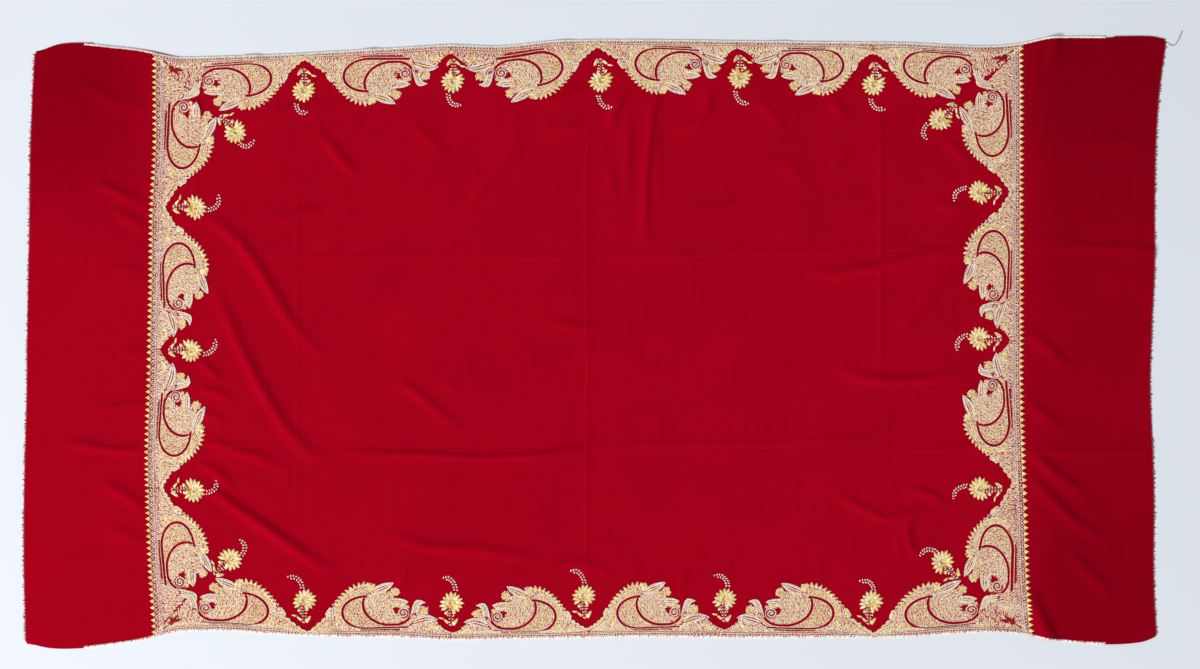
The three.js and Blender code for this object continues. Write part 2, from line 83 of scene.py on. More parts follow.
# ------------------------------------------------------------------------------------------- small helpers
class SmoothTable:
    """A smooth curve through the rows of a table."""

    def __init__(self, at: Sequence[float], value: Sequence[float]) -> None:
        """Works out the slope at each row.

        Args:
            at: The places of the rows, rising.
            value: The value in each row.
        """
        self.at = np.array(at, float)
        self.value = np.array(value, float)
        last = len(at) - 1
        before = np.maximum(np.arange(last + 1) - 1, 0)
        after = np.minimum(np.arange(last + 1) + 1, last)
        self.slope = (self.value[after] - self.value[before]) / (self.at[after] - self.at[before])

    def __call__(self, place: np.ndarray | float) -> np.ndarray:
        """Gives the curve's value at each place."""
        place = np.asarray(place, float)
        i = np.clip(np.searchsorted(self.at, place, side="right") - 1, 0, len(self.at) - 2)
        span = self.at[i + 1] - self.at[i]
        q = np.clip((place - self.at[i]) / span, 0.0, 1.0)
        return (
            (2 * q**3 - 3 * q**2 + 1) * self.value[i]
            + (q**3 - 2 * q**2 + q) * span * self.slope[i]
            + (3 * q**2 - 2 * q**3) * self.value[i + 1]
            + (q**3 - q**2) * span * self.slope[i + 1]
        )


def arc(cx: float, cy: float, rx: float, ry: float, start: float, end: float, steps: int) -> Points:
    """Gives points on an ellipse between two angles in degrees."""
    angle = np.radians(np.linspace(start, end, steps + 1))
    return np.column_stack([cx + rx * np.cos(angle), cy + ry * np.sin(angle)])


def bezier(a: tuple, b: tuple, c: tuple, d: tuple, steps: int = 10) -> Points:
    """Gives points on a cubic curve with the four control points a, b, c and d."""
    q = np.linspace(0.0, 1.0, steps + 1)[:, None]
    a, b, c, d = (np.array(p, float) for p in (a, b, c, d))
    return (1 - q) ** 3 * a + 3 * (1 - q) ** 2 * q * b + 3 * (1 - q) * q**2 * c + q**3 * d


def evenly(route: Points, pitch: float, start: float = 0.5) -> tuple[Points, np.ndarray]:
    """Walks along a route.

    Args:
        route: The route's points.
        pitch: About how far apart the steps are.
        start: Where the first step is, as a share of the pitch.

    Returns:
        The steps' points and the heading at each.
    """
    leg = np.diff(route, axis=0)
    run = np.concatenate([[0.0], np.cumsum(np.hypot(leg[:, 0], leg[:, 1]))])
    count = max(1, round(run[-1] / pitch))
    at = (np.arange(count) + start) * run[-1] / count
    place = np.column_stack([np.interp(at, run, route[:, k]) for k in (0, 1)])
    i = np.clip(np.searchsorted(run, at, side="right") - 1, 0, len(leg) - 1)
    return place, np.arctan2(leg[i, 1], leg[i, 0])


def beside(route: Points, away: float) -> Points:
    """Gives a route's parallel, to the left of its run where away is positive."""
    ahead = np.gradient(route, axis=0)
    ahead /= np.maximum(np.hypot(ahead[:, 0], ahead[:, 1]), 1e-9)[:, None]
    return route + away * np.column_stack([-ahead[:, 1], ahead[:, 0]])


def inside(region: Points, at: Points) -> np.ndarray:
    """Tells which points lie inside a closed outline."""
    hit = np.zeros(len(at), bool)
    for (ax, ay), (bx, by) in zip(region, np.roll(region, -1, axis=0)):
        crosses = (ay > at[:, 1]) != (by > at[:, 1])
        rise = by - ay if by != ay else 1e-12
        hit ^= crosses & (at[:, 0] < (bx - ax) * (at[:, 1] - ay) / rise + ax)
    return hit


def share_of(value: np.ndarray, start: float, span: float) -> np.ndarray:
    """Gives how far a value has come from a start over a span, kept from 0 to 1."""
    return np.clip((value - start) / span, 0, 1)


def within(region: Points, holes: Sequence[Points], at: Points) -> np.ndarray:
    """Tells which points lie in a region and in none of its holes."""
    keep = inside(region, at)
    for hole in holes:
        keep &= ~inside(hole, at)
    return keep


def bricked(region: Points, along: float, across: float, skipped: float = 0.0) -> Points:
    """Gives a grid over a region, with every second row half a step on.

    Args:
        region: The outline that the grid covers.
        along: The step in a row.
        across: The step between rows.
        skipped: How far above the region's lowest point the first row is.

    Returns:
        The grid's points, row by row.
    """
    low, high = region.min(0), region.max(0)
    s, t = np.meshgrid(np.arange(low[0], high[0], along), np.arange(low[1] + skipped, high[1], across))
    s = s + (np.arange(len(s)) % 2)[:, None] * along / 2
    return np.column_stack([s.ravel(), t.ravel()])


def rectangle(s0: float, t0: float, s1: float, t1: float) -> Points:
    """Gives a rectangle's outline from two of its corners."""
    return np.array([[s0, t0], [s1, t0], [s1, t1], [s0, t1]], float)


def toward(angle: np.ndarray) -> Points:
    """Gives the unit steps in some directions."""
    return np.column_stack([np.cos(angle), np.sin(angle)])


def leftward(angle: np.ndarray) -> Points:
    """Gives the unit steps to the left of some directions."""
    return np.column_stack([-np.sin(angle), np.cos(angle)])


def wound(loop: Points) -> Points:
    """Gives a closed outline that runs anticlockwise."""
    after = np.roll(loop, -1, axis=0)
    area = (loop[:, 0] * after[:, 1] - loop[:, 1] * after[:, 0]).sum()
    return loop if area > 0 else loop[::-1]


def refined(loop: Points, reach: float = 6.0) -> Points:
    """Gives a closed outline with no leg longer than the reach."""
    rows = []
    for a, b in zip(loop, np.roll(loop, -1, axis=0)):
        parts = max(1, math.ceil(math.hypot(*(b - a)) / reach))
        rows.append(a + (b - a) * (np.arange(parts) / parts)[:, None])
    return np.concatenate(rows)


def stroke(route: Points, start: float, end: float) -> Points:
    """Gives the outline of a line whose width goes from start to end."""
    half = np.linspace(start, end, len(route))[:, None] / 2
    one_side = beside(route, 1.0) - route
    return np.concatenate([route + one_side * half, (route - one_side * half)[::-1]])


def linked(name: str, data: bpy.types.ID) -> bpy.types.Object:
    """Makes an object of some data and puts it into the scene."""
    item = bpy.data.objects.new(name, data)
    bpy.context.scene.collection.objects.link(item)
    return item


def smoothed(mesh: bpy.types.Mesh, sharp: float) -> None:
    """Shades a mesh smoothly, apart from edges over an angle in degrees."""
    mesh.polygons.foreach_set("use_smooth", np.ones(len(mesh.polygons), bool))
    mesh.set_sharp_from_angle(angle=math.radians(sharp))


# ------------------------------------------------------------------------------------------- the plan
class Side(Enum):
    """The four embroidered borders."""

    FAR = "far"
    NEAR = "near"
    LEFT = "left"
    RIGHT = "right"

    @property
    def is_end(self) -> bool:
        """Tells whether the border runs across the cloth."""
        return self in (Side.LEFT, Side.RIGHT)


@dataclass
class ShawlPlan:
    """The cloth's outline as it lies, and where its borders begin."""

    length: float = 2036.0
    width: float = 1076.0
    stitch_width: float = 2.4
    stitched: tuple[float, float] = (-915.0, 925.0)
    fringe: float = 4.6
    end_depth: float = 0.9
    # along, near, far
    edges: tuple = (
        (-1012, -540, 520), (-974, -548, 533), (-920, -548, 535), (-866, -542, 530), (-813, -534, 524),
        (-768, -523, 514), (-741, -518, 510), (-652, -517, 512), (-544, -524, 516), (-437, -527, 522),
        (-347, -528, 527), (-258, -533, 532), (-168, -531, 530), (-61, -530, 540), (100, -527, 541),
        (279, -529, 539), (458, -528, 537), (548, -528, 536), (637, -522, 532), (709, -519, 530),
        (762, -522, 535), (816, -533, 546), (924, -541, 547), (992, -537, 547), (1022, -526, 541),
    )
    # across, left end, left border, right border, right end
    ends: tuple = (
        (-545, -1020, -776, 777, 1010), (-480, -1021, -780, 770, 1006), (-408, -1023, -785, 766, 1004),
        (-300, -1023, -789, 763, 1005), (-193, -1021, -791, 759, 1002), (-86, -1018, -788, 756, 998),
        (21, -1017, -786, 756, 1001), (129, -1015, -784, 756, 1006), (236, -1013, -783, 756, 1006),
        (344, -1012, -777, 756, 1008), (450, -1008, -777, 756, 1015), (545, -1003, -777, 755, 1028),
    )

    def __post_init__(self) -> None:
        """Makes the smooth curves of the outline."""
        along, near, far = zip(*self.edges)
        across, left, left_band, right_band, right = zip(*self.ends)
        self.outer = {Side.NEAR: SmoothTable(along, near), Side.FAR: SmoothTable(along, far)}
        self.outer |= {Side.LEFT: SmoothTable(across, left), Side.RIGHT: SmoothTable(across, right)}
        self.band = {Side.LEFT: SmoothTable(across, left_band), Side.RIGHT: SmoothTable(across, right_band)}

    def edge(self, side: Side, x: np.ndarray | float) -> np.ndarray:
        """Gives the raw edge's y along a long side, inside its whip stitches."""
        rise = np.minimum(x - self.stitched[0], self.stitched[1] - x) / self.stitch_width
        inset = (self.stitch_width + GAP) * np.clip(rise, 0.0, 1.0)
        return self.outer[side](x) + (inset if side is Side.NEAR else -inset)

    def sheet(self, u: np.ndarray, v: np.ndarray) -> Points:
        """Maps the unit square to the cloth.

        Args:
            u: Shares along the length.
            v: Shares across the width.

        Returns:
            The plan points.
        """
        x0, y0 = (u - 0.5) * self.length, (v - 0.5) * self.width
        inset = self.fringe + GAP
        left, right = self.outer[Side.LEFT](y0) + inset, self.outer[Side.RIGHT](y0) - inset
        near, far = self.edge(Side.NEAR, x0), self.edge(Side.FAR, x0)
        return np.column_stack([left + (right - left) * u, near + (far - near) * v])

    def on_border(self, side: Side, along: np.ndarray, depth: np.ndarray) -> Points:
        """Gives the plan point at a place along a border and a depth inward from its edge."""
        if side.is_end:
            inward = 1.0 if side is Side.LEFT else -1.0
            return np.column_stack([self.band[side](along) + inward * depth * self.end_depth, along])
        inward = 1.0 if side is Side.NEAR else -1.0
        return np.column_stack([along, self.edge(side, along) + inward * depth])


# ------------------------------------------------------------------------------------------- the folds
@dataclass(frozen=True)
class Fold:
    """One soft ridge of lifted cloth."""

    crest: tuple
    height: float
    reach: float
    sharp: float = 3.6
    blunt: float = 0.9

    def lift(self, x: np.ndarray, y: np.ndarray) -> np.ndarray:
        """Gives how far the fold lifts the cloth at each point."""
        nearest = np.full(x.shape, self.reach)
        place = np.zeros(x.shape)
        parts = len(self.crest) - 1
        for i in range(parts):
            ax, ay = self.crest[i]
            dx, dy = self.crest[i + 1][0] - ax, self.crest[i + 1][1] - ay
            q = np.clip(((x - ax) * dx + (y - ay) * dy) / (dx * dx + dy * dy), 0.0, 1.0)
            distance = np.hypot(x - ax - q * dx, y - ay - q * dy)
            closer = distance < nearest
            nearest = np.where(closer, distance, nearest)
            place = np.where(closer, (i + q) / parts, place)
        taper = np.clip(1 - (2 * place - 1) ** 2, 0.0, 1.0) ** self.blunt
        return self.height * taper * (1 - (nearest / self.reach) ** 2) ** self.sharp


# Folds that the frame's cloth has too, here a little higher and narrower: crest, height, reach.
MAIN_FOLDS = (
    # left half of the field
    Fold(((-716, 232), (-674, 214), (-634, 180), (-598, 128), (-562, 66), (-526, 14), (-470, -42)), 5.4, 22),
    Fold(
        ((-685, 110), (-662, 58), (-634, -6), (-602, -72), (-560, -142), (-516, -196), (-458, -222)), 5.4, 22,
    ),
    Fold(((-716, -246), (-668, -276), (-634, -300), (-562, -350), (-508, -388), (-464, -416)), 6.4, 19),
    Fold(((-706, -170), (-650, -192), (-600, -206), (-535, -236)), 3.8, 19),
    Fold(((-356, -62), (-330, -82), (-294, -110), (-231, -166)), 3.8, 17),
    Fold(((-410, -346), (-347, -350), (-294, -368), (-204, -372), (-130, -384), (-90, -398)), 3.8, 20),
    Fold(((-502, 382), (-470, 350), (-445, 318), (-425, 296)), 4.3, 19),
    Fold(((-590, 190), (-560, 214), (-524, 232), (-484, 236)), 4.2, 19),
    Fold(((-234, 226), (-210, 264), (-180, 300), (-144, 338), (-124, 362)), 4.5, 20),
    Fold(((-88, 424), (-52, 436), (-7, 458)), 3.2, 19),
    Fold(((-88, 42), (-50, 30), (-16, 24), (20, 22)), 2.8, 17),
    Fold(((-470, -199), (-311, -203), (-204, -207), (-97, -204), (-7, -190)), 5.7, 15, 3.0, 0.6),
    # left end panel
    Fold(((-900, 286), (-860, 272), (-795, 238)), 4.5, 20),
    Fold(((-862, 236), (-795, 200)), 3.3, 19),
    Fold(((-900, -120), (-848, -117), (-798, -108)), 3.3, 17),
    Fold(((-950, -180), (-875, -192), (-795, -195)), 5.4, 17),
    Fold(((-884, -250), (-840, -274), (-798, -304)), 3.8, 19),
    # right half of the field
    Fold(((60, 455), (36, 415), (26, 385)), 5.2, 19),
    Fold(((116, 446), (104, 410), (96, 340), (92, 260), (92, 178)), 5.3, 17, 3.2, 0.6),
    Fold(((212, 462), (206, 424), (186, 392), (140, 376)), 4.9, 19),
    Fold(((250, 254), (220, 240), (166, 216)), 3.2, 19),
    Fold(((378, 122), (440, 122), (512, 136), (584, 154), (670, 170)), 5.7, 20),
    Fold(((436, -50), (480, -64), (530, -70), (601, -66), (672, -48)), 5.0, 19),
    Fold(((550, 22), (580, 62), (612, 98), (668, 132)), 4.2, 20),
    Fold(((420, -256), (470, -294), (521, -316), (566, -308), (588, -290)), 4.4, 17),
    Fold(((548, -278), (580, -266), (608, -276), (630, -298)), 4.0, 16),
    Fold(((576, -306), (560, -330), (564, -362), (590, -396)), 4.0, 16),
    Fold(((626, 366), (650, 340), (684, 302)), 3.2, 19),
    Fold(((418, 446), (436, 420), (452, 392)), 3.0, 19),
    # right end panel
    Fold(((780, 176), (888, 170), (960, 166), (1040, 160)), 3.8, 19),
    Fold(((768, 26), (810, -10), (856, -54)), 3.6, 20),
    Fold(((768, -100), (800, -128), (838, -160)), 3.6, 20),
    Fold(((772, -186), (824, -236), (884, -278)), 5.1, 20),
    Fold(((778, -240), (812, -276), (856, -318), (920, -362)), 5.1, 20),
    Fold(((843, -372), (880, -408), (930, -456)), 3.3, 20),
    Fold(((776, -440), (800, -500), (850, -600)), 6.6, 26),
    Fold(((828, 600), (820, 490)), 4.7, 22),
    # lifts of the far edge
    Fold(((-614, 590), (-612, 520), (-608, 470)), 2.0, 24, 2.0),
    Fold(((-404, 600), (-400, 530), (-396, 480)), 2.2, 24, 2.0),
    Fold(((-61, 615), (-57, 545), (-53, 490)), 1.2, 28, 2.0),
    Fold(((333, 615), (334, 545), (335, 495)), 1.2, 28, 2.0),
)

# Pressed creases and light wrinkles that only the visible cloth has.
FINE_FOLDS = (
    Fold(((-1010, 161), (-850, 158), (-700, 155), (-530, 151), (-16, 150)), 0.9, 9, 2.0, 0.3),
    Fold(((-16, 150), (120, 155), (250, 164), (480, 166), (690, 172)), 1.0, 9, 2.0, 0.3),
    Fold(((-795, -196), (-640, -202), (-540, -206)), 1.1, 11, 2.0, 0.5),
    Fold(((-520, -207), (-400, -206), (-311, -202)), 1.2, 10, 2.0, 0.5),
    Fold(((-7, -190), (64, -184), (300, -181), (500, -178)), 1.0, 9, 2.0, 0.3),
    Fold(((552, -186), (612, -190), (690, -188), (775, -193)), 1.5, 12, 2.0, 0.6),
    Fold(((770, -193), (850, -196), (930, -196), (1005, -194)), 2.4, 14, 2.0, 0.6),
    Fold(((-12, 384), (-12, 200), (-10, 0), (-12, -240), (-12, -440)), 0.9, 9, 2.0, 0.25),
    Fold(((-530, 330), (-530, 60), (-532, -330)), 0.7, 9, 2.0, 0.3),
    Fold(((512, 420), (512, 330), (514, 100), (514, -40)), 1.1, 10, 2.0, 0.4),
    Fold(((62, 420), (60, 330), (56, 250)), 2.2, 14, 2.6),
    Fold(((112, 400), (114, 320), (118, 240)), 2.2, 14, 2.6),
    Fold(((-508, 172), (-480, 188), (-452, 212), (-420, 232)), 3.2, 19),
    Fold(((-92, 372), (-50, 384), (-16, 394)), 2.7, 19),
    Fold(((-616, 388), (-562, 410), (-473, 426)), 2.7, 20),
    Fold(((-866, 130), (-804, 126)), 2.7, 17),
    Fold(((-848, -25), (-798, -16)), 2.7, 17),
    Fold(((-714, -26), (-690, -48), (-666, -70)), 3.8, 14),
    Fold(((-712, -82), (-672, -92), (-640, -112)), 3.5, 14),
    Fold(((-704, -128), (-662, -138)), 3.0, 14),
    Fold(((-710, -214), (-676, -232), (-640, -262)), 3.8, 15),
    Fold(((-206, 262), (-180, 290), (-150, 320)), 2.2, 17),
    Fold(((-276, -70), (-240, -84)), 1.9, 15),
    Fold(((29, 317), (38, 254)), 1.9, 17),
    Fold(((546, -330), (546, -388)), 2.4, 15),
    Fold(((424, -446), (448, -420), (478, -402)), 3.0, 17),
    Fold(((413, 286), (436, 318), (462, 344)), 2.4, 19),
    Fold(((288, 442), (316, 410), (342, 376)), 2.7, 20),
    Fold(((-720, 440), (-700, 400)), 2.4, 15),
    Fold(((-350, -440), (-330, -395)), 2.4, 17),
    Fold(((-100, -430), (-70, -404), (-30, -394), (10, -404), (40, -426)), 2.7, 17),
    Fold(((150, -450), (165, -400)), 2.2, 17),
    Fold(((600, 250), (668, 235)), 2.7, 17),
    Fold(((-930, 470), (-860, 430), (-800, 420)), 2.4, 26),
    Fold(((-960, -400), (-880, -380)), 2.2, 24),
    Fold(((-880, -330), (-800, -360)), 2.4, 20),
    Fold(((860, 330), (930, 360), (1000, 350)), 2.4, 26),
    Fold(((-560, 270), (-500, 290)), 2.2, 20),
    Fold(((-330, 400), (-290, 360), (-270, 330)), 2.4, 20),
    Fold(((330, 330), (390, 270)), 1.9, 24),
    Fold(((-502, 600), (-500, 520)), 2.7, 19, 2.0),
    Fold(((-343, 600), (-343, 530)), 2.4, 17, 2.0),
    Fold(((-258, 610), (-258, 540)), 2.4, 17, 2.0),
)


@dataclass
class LaidCloth:
    """The height of the cloth as it lies on the floor."""

    plan: ShawlPlan
    billow: float = 0.35

    def lift(self, at: Points) -> np.ndarray:
        """Gives how far the underside is off the floor at each plan point."""
        x, y = at[:, 0], at[:, 1]
        total = np.zeros(len(at))
        for fold in MAIN_FOLDS + FINE_FOLDS:
            crest = np.array(fold.crest)
            low, high = crest.min(0) - fold.reach, crest.max(0) + fold.reach
            near = np.flatnonzero(((at > low) & (at < high)).all(axis=1))
            total[near] += fold.lift(x[near], y[near]) ** 3
        return np.cbrt(total + self.soft(x, y) ** 3)

    def soft(self, x: np.ndarray, y: np.ndarray) -> np.ndarray:
        """Gives the low, broad swells between the folds."""
        wave = (
            np.sin(x / 61 + 1.3 * np.sin(y / 97)) * np.sin(y / 71 + 0.9 * np.sin(x / 83))
            + 0.6 * np.sin((x + 0.7 * y) / 34 + 2.0 * np.sin(y / 120)) * np.sin((y - 0.4 * x) / 47)
        )
        return self.billow * np.clip(wave, 0.0, None) ** 1.5

    def top(self, at: Points) -> np.ndarray:
        """Gives the height of the cloth's right side at each plan point."""
        return self.lift(at) + CLOTH_WALL

    def slope(self, at: Points, step: float = 2.0) -> tuple[np.ndarray, np.ndarray]:
        """Gives the rise of the cloth along x and along y."""
        dx, dy = np.array([step, 0.0]), np.array([0.0, step])
        along = (self.lift(at + dx) - self.lift(at - dx)) / (2 * step)
        across = (self.lift(at + dy) - self.lift(at - dy)) / (2 * step)
        return along, across


# ------------------------------------------------------------------------------------------- shader maths
class Flow:
    """A shader socket that takes part in Python expressions."""

    def __init__(self, paint: "Paint", socket: bpy.types.NodeSocket) -> None:
        """Wraps a socket of a material's tree."""
        self.paint = paint
        self.socket = socket

    def _math(self, operation: str, a: "Flow | float", b: "Flow | float") -> "Flow":
        """Adds a Math node for one operation."""
        return self.paint.node("ShaderNodeMath", {"operation": operation}, {0: a, 1: b})

    def __add__(self, other: "Flow | float") -> "Flow":
        """Adds."""
        return self._math("ADD", self, other)

    def __radd__(self, other: float) -> "Flow":
        """Adds to a number."""
        return self._math("ADD", other, self)

    def __sub__(self, other: "Flow | float") -> "Flow":
        """Takes away."""
        return self._math("SUBTRACT", self, other)

    def __rsub__(self, other: float) -> "Flow":
        """Is taken away from a number."""
        return self._math("SUBTRACT", other, self)

    def __mul__(self, other: "Flow | float") -> "Flow":
        """Multiplies."""
        return self._math("MULTIPLY", self, other)

    def sine(self) -> "Flow":
        """Gives the sine."""
        return self._math("SINE", self, 0.0)


class Paint:
    """Builds one procedural material."""

    def __init__(self, name: str) -> None:
        """Starts a material with one surface shader."""
        self.material = bpy.data.materials.new(name)
        self.material.use_nodes = True
        self.tree = self.material.node_tree
        self.tree.nodes.clear()
        self.surface = self.tree.nodes.new("ShaderNodeBsdfPrincipled")
        output = self.tree.nodes.new("ShaderNodeOutputMaterial")
        self.tree.links.new(self.surface.outputs["BSDF"], output.inputs["Surface"])

    def node(self, kind: str, settings: dict, inputs: dict, output: int | str = 0) -> Flow:
        """Adds one node.

        Args:
            kind: The node's type.
            settings: Its own properties, which are set first.
            inputs: Values or links by socket.
            output: The socket to give back.

        Returns:
            The output socket.
        """
        node = self.tree.nodes.new(kind)
        for key, value in settings.items():
            setattr(node, key, value)
        for key, value in inputs.items():
            if isinstance(value, Flow):
                self.tree.links.new(value.socket, node.inputs[key])
            else:
                node.inputs[key].default_value = value
        return Flow(self, node.outputs[output])

    def place(self) -> Flow:
        """Gives the object coordinates."""
        return self.node("ShaderNodeTexCoord", {}, {}, "Object")

    def parts(self, vector: Flow) -> list[Flow]:
        """Splits a vector into its three numbers."""
        node = self.tree.nodes.new("ShaderNodeSeparateXYZ")
        self.tree.links.new(vector.socket, node.inputs[0])
        return [Flow(self, socket) for socket in node.outputs]

    def stretched(self, vector: Flow, scale: tuple[float, float, float]) -> Flow:
        """Scales a vector along each axis."""
        return self.node("ShaderNodeMapping", {}, {"Vector": vector, "Scale": scale})

    def noise(self, vector: Flow, scale: float, detail: float = 2.0) -> Flow:
        """Gives a noise of about 0 to 1."""
        return self.node("ShaderNodeTexNoise", {}, {"Vector": vector, "Scale": scale, "Detail": detail})

    def colour(self, name: str) -> Flow:
        """Gives a colour attribute of the mesh."""
        return self.node("ShaderNodeAttribute", {"attribute_name": name}, {}, "Color")

    def blend(self, factor: Flow | float, a: Flow | tuple, b: Flow | tuple, how: str = "MIX") -> Flow:
        """Mixes two colours."""
        settings = {"data_type": "RGBA", "blend_type": how}
        return self.node("ShaderNodeMix", settings, {0: factor, 6: a, 7: b}, 2)

    def dimmed(self, colour: Flow, level: Flow) -> Flow:
        """Multiplies a colour by a level."""
        grey = self.node("ShaderNodeCombineColor", {}, {0: level, 1: level, 2: level})
        return self.blend(1.0, colour, grey, "MULTIPLY")

    def ramp(self, value: Flow, low: float, high: float) -> Flow:
        """Maps low to high onto 0 to 1, smoothly."""
        settings = {"interpolation_type": "SMOOTHSTEP"}
        return self.node("ShaderNodeMapRange", settings, {0: value, 1: low, 2: high})

    def bump(self, height: Flow, distance: float, strength: float = 1.0) -> None:
        """Raises the surface by a height of 0 to 1 times a distance in metres."""
        inputs = {"Height": height, "Distance": distance, "Strength": strength}
        normal = self.node("ShaderNodeBump", {}, inputs)
        self.tree.links.new(normal.socket, self.surface.inputs["Normal"])

    def feed(self, socket: str, value: Flow) -> None:
        """Links a value to the surface shader."""
        self.tree.links.new(value.socket, self.surface.inputs[socket])

    def fix(self, **values: float | tuple) -> None:
        """Sets constants on the surface shader, by socket name with _ for a space."""
        for key, value in values.items():
            self.surface.inputs[key.replace("_", " ")].default_value = value


@dataclass(frozen=True)
class WoolFinish:
    """Crimson wool in a fine twill, with a short soft nap; its end panels carry painted shade, darker in
    colour towards the right and the far and near edges.
    """

    deep: tuple = (0.335, 0.0005, 0.0098, 1.0)
    bright: tuple = (0.42, 0.0007, 0.013, 1.0)
    # strength of the painted shade that darkens the end panels' colour
    painted_shade: float = 0.30
    rib: float = 0.0011
    nap: float = 0.00022
    # pressed creases: runs along x, start, end, level, tilt, how strong
    creases: tuple = (
        (True, -1.01, -0.54, 0.156, -0.012, 1.0), (True, -0.54, 0.0, 0.1505, -0.003, 2.0),
        (True, 0.0, 0.70, 0.151, 0.031, 1.8), (True, 0.74, 1.0, 0.168, 0.0, 2.4),
        (True, -0.79, -0.52, -0.198, -0.025, 2.0), (True, -0.01, 0.50, -0.186, 0.022, 1.8),
        (True, 0.52, 1.0, -0.190, -0.006, 2.2), (False, -0.44, 0.40, -0.0135, 0.0, 1.8),
        (False, -0.34, 0.34, -0.532, 0.003, 1.0), (False, -0.10, 0.43, 0.512, 0.0, 2.0),
    )

    def material(self) -> bpy.types.Material:
        """Builds the material."""
        paint = Paint("crimson_wool")
        at = paint.place()
        x, y, _ = paint.parts(at)
        turn = 2 * math.pi / self.rib
        drift = paint.noise(at, 35.0) * 5.0
        twill = ((x + y * 0.72) * turn + drift).sine() * 0.5 + 0.5
        weft = (y * (turn * 1.35) + drift * 1.7).sine() * 0.5 + 0.5
        slub = paint.noise(paint.stretched(at, (14.0, 420.0, 1.0)), 1.0, 3.0)
        cloud = paint.noise(at, 7.0, 3.0)
        fuzz = paint.noise(at, 1400.0, 2.0)
        streak = paint.noise(paint.stretched(at, (330.0, 9.0, 1.0)), 1.0, 2.0)
        weave = slub * 0.26 + streak * 0.24 + cloud * 0.24 + twill * 0.10 + fuzz * 0.16
        tone = paint.ramp(weave, 0.30, 0.70)
        # painted shade: darkens the colour of the right end panel all over, more towards its far and near
        # edges, and of the left end panel towards its far edge
        far, near = paint.ramp(y, 0.08, 0.50), paint.ramp(0.0 - y, 0.08, 0.50)
        left, right = paint.ramp(0.0 - x, 0.74, 0.90), paint.ramp(x, 0.72, 0.84)
        right_painted_shade = self.painted_shade * 0.6 + far * self.painted_shade * 0.67 + near * self.painted_shade * 0.4
        level = 1.0 - (right * right_painted_shade + left * far * self.painted_shade)
        paint.feed("Base Color", paint.dimmed(paint.blend(tone, self.deep, self.bright), level))
        relief = twill * 0.35 + weft * 0.2 + slub * 0.25 + fuzz * 0.5
        for row in self.creases:
            relief = relief + self._crease(paint, x, y, row)
        paint.bump(relief, self.nap)
        paint.fix(Roughness=0.92, Specular_IOR_Level=0.0, Sheen_Weight=0.05, Sheen_Roughness=0.5)
        paint.fix(Sheen_Tint=(0.8, 0.01, 0.05, 1.0))
        return paint.material

    @staticmethod
    def _crease(paint: Paint, x: Flow, y: Flow, row: tuple) -> Flow:
        """Gives one pressed crease as a narrow ridge.

        Args:
            paint: The material that it belongs to.
            x: The place along the cloth.
            y: The place across the cloth.
            row: Its row in the table of creases.

        Returns:
            The ridge's height, in naps.
        """
        lengthwise, start, end, level, tilt, strength = row
        along, across = (x, y) if lengthwise else (y, x)
        off = across - level - along * tilt
        ends = paint.ramp(along, start, start + 0.05) * paint.ramp(along, end, end - 0.05)
        return paint.ramp(off * off, 0.000022, 0.0) * ends * strength


@dataclass(frozen=True)
class ThreadFinish:
    """Embroidery thread, coloured stitch by stitch."""

    name: str = "embroidery_thread"
    roughness: float = 0.58
    gloss: float = 0.12
    strand: float = 0.00016

    def material(self) -> bpy.types.Material:
        """Builds the material."""
        paint = Paint(self.name)
        at = paint.place()
        strands = paint.noise(at, 2600.0, 1.0)
        dye = paint.noise(at, 260.0, 2.0)
        shade = paint.node("ShaderNodeAttribute", {"attribute_name": "shade"}, {}, "Fac")
        level = shade * (0.86 + strands * 0.16 + dye * 0.14)
        paint.feed("Base Color", paint.dimmed(paint.colour("tone"), level))
        paint.feed("Roughness", self.roughness + strands * 0.15)
        paint.bump(strands, self.strand, 0.6)
        paint.fix(Specular_IOR_Level=self.gloss, Sheen_Weight=0.1)
        return paint.material


@dataclass(frozen=True)
class FloorFinish:
    """A plain pale studio floor."""

    colour: tuple = (0.80, 0.845, 0.905, 1.0)

    def material(self) -> bpy.types.Material:
        """Builds the material."""
        paint = Paint("pale_floor")
        haze = paint.noise(paint.place(), 1.6, 2.0)
        soft = tuple(0.97 * c for c in self.colour[:3]) + (1.0,)
        paint.feed("Base Color", paint.blend(haze, soft, self.colour))
        paint.fix(Roughness=0.6, Specular_IOR_Level=0.2)
        return paint.material


# ------------------------------------------------------------------------------------------- stitches
class Tone(Enum):
    """Thread colours, linear."""

    CREAM = (0.86, 0.74, 0.52)
    LILAC_WHITE = (0.86, 0.74, 0.74)
    IVORY = (0.93, 0.87, 0.74)
    WHITE = (0.97, 0.94, 0.90)
    GOLD = (0.84, 0.58, 0.17)
    PALE_GOLD = (0.92, 0.78, 0.38)
    RUST = (0.60, 0.20, 0.09)
    WINE = (0.19, 0.010, 0.022)
    CRIMSON = (0.33, 0.001, 0.013)
    ROSE = (0.66, 0.27, 0.25)
    GROUND = (0.40, 0.025, 0.035)


# one thread colour, or a share for each colour
Tones = dict[Tone, float] | Tone
# a stitch's length, width and height
Size = tuple[float, float, float]
PALE = {Tone.IVORY: 0.6, Tone.LILAC_WHITE: 0.4}
GOLDEN = {Tone.GOLD: 0.4, Tone.PALE_GOLD: 0.6}


class Cut(Enum):
    """The two low forms that stand for a stitch."""

    SEED = 0
    SATIN = 1


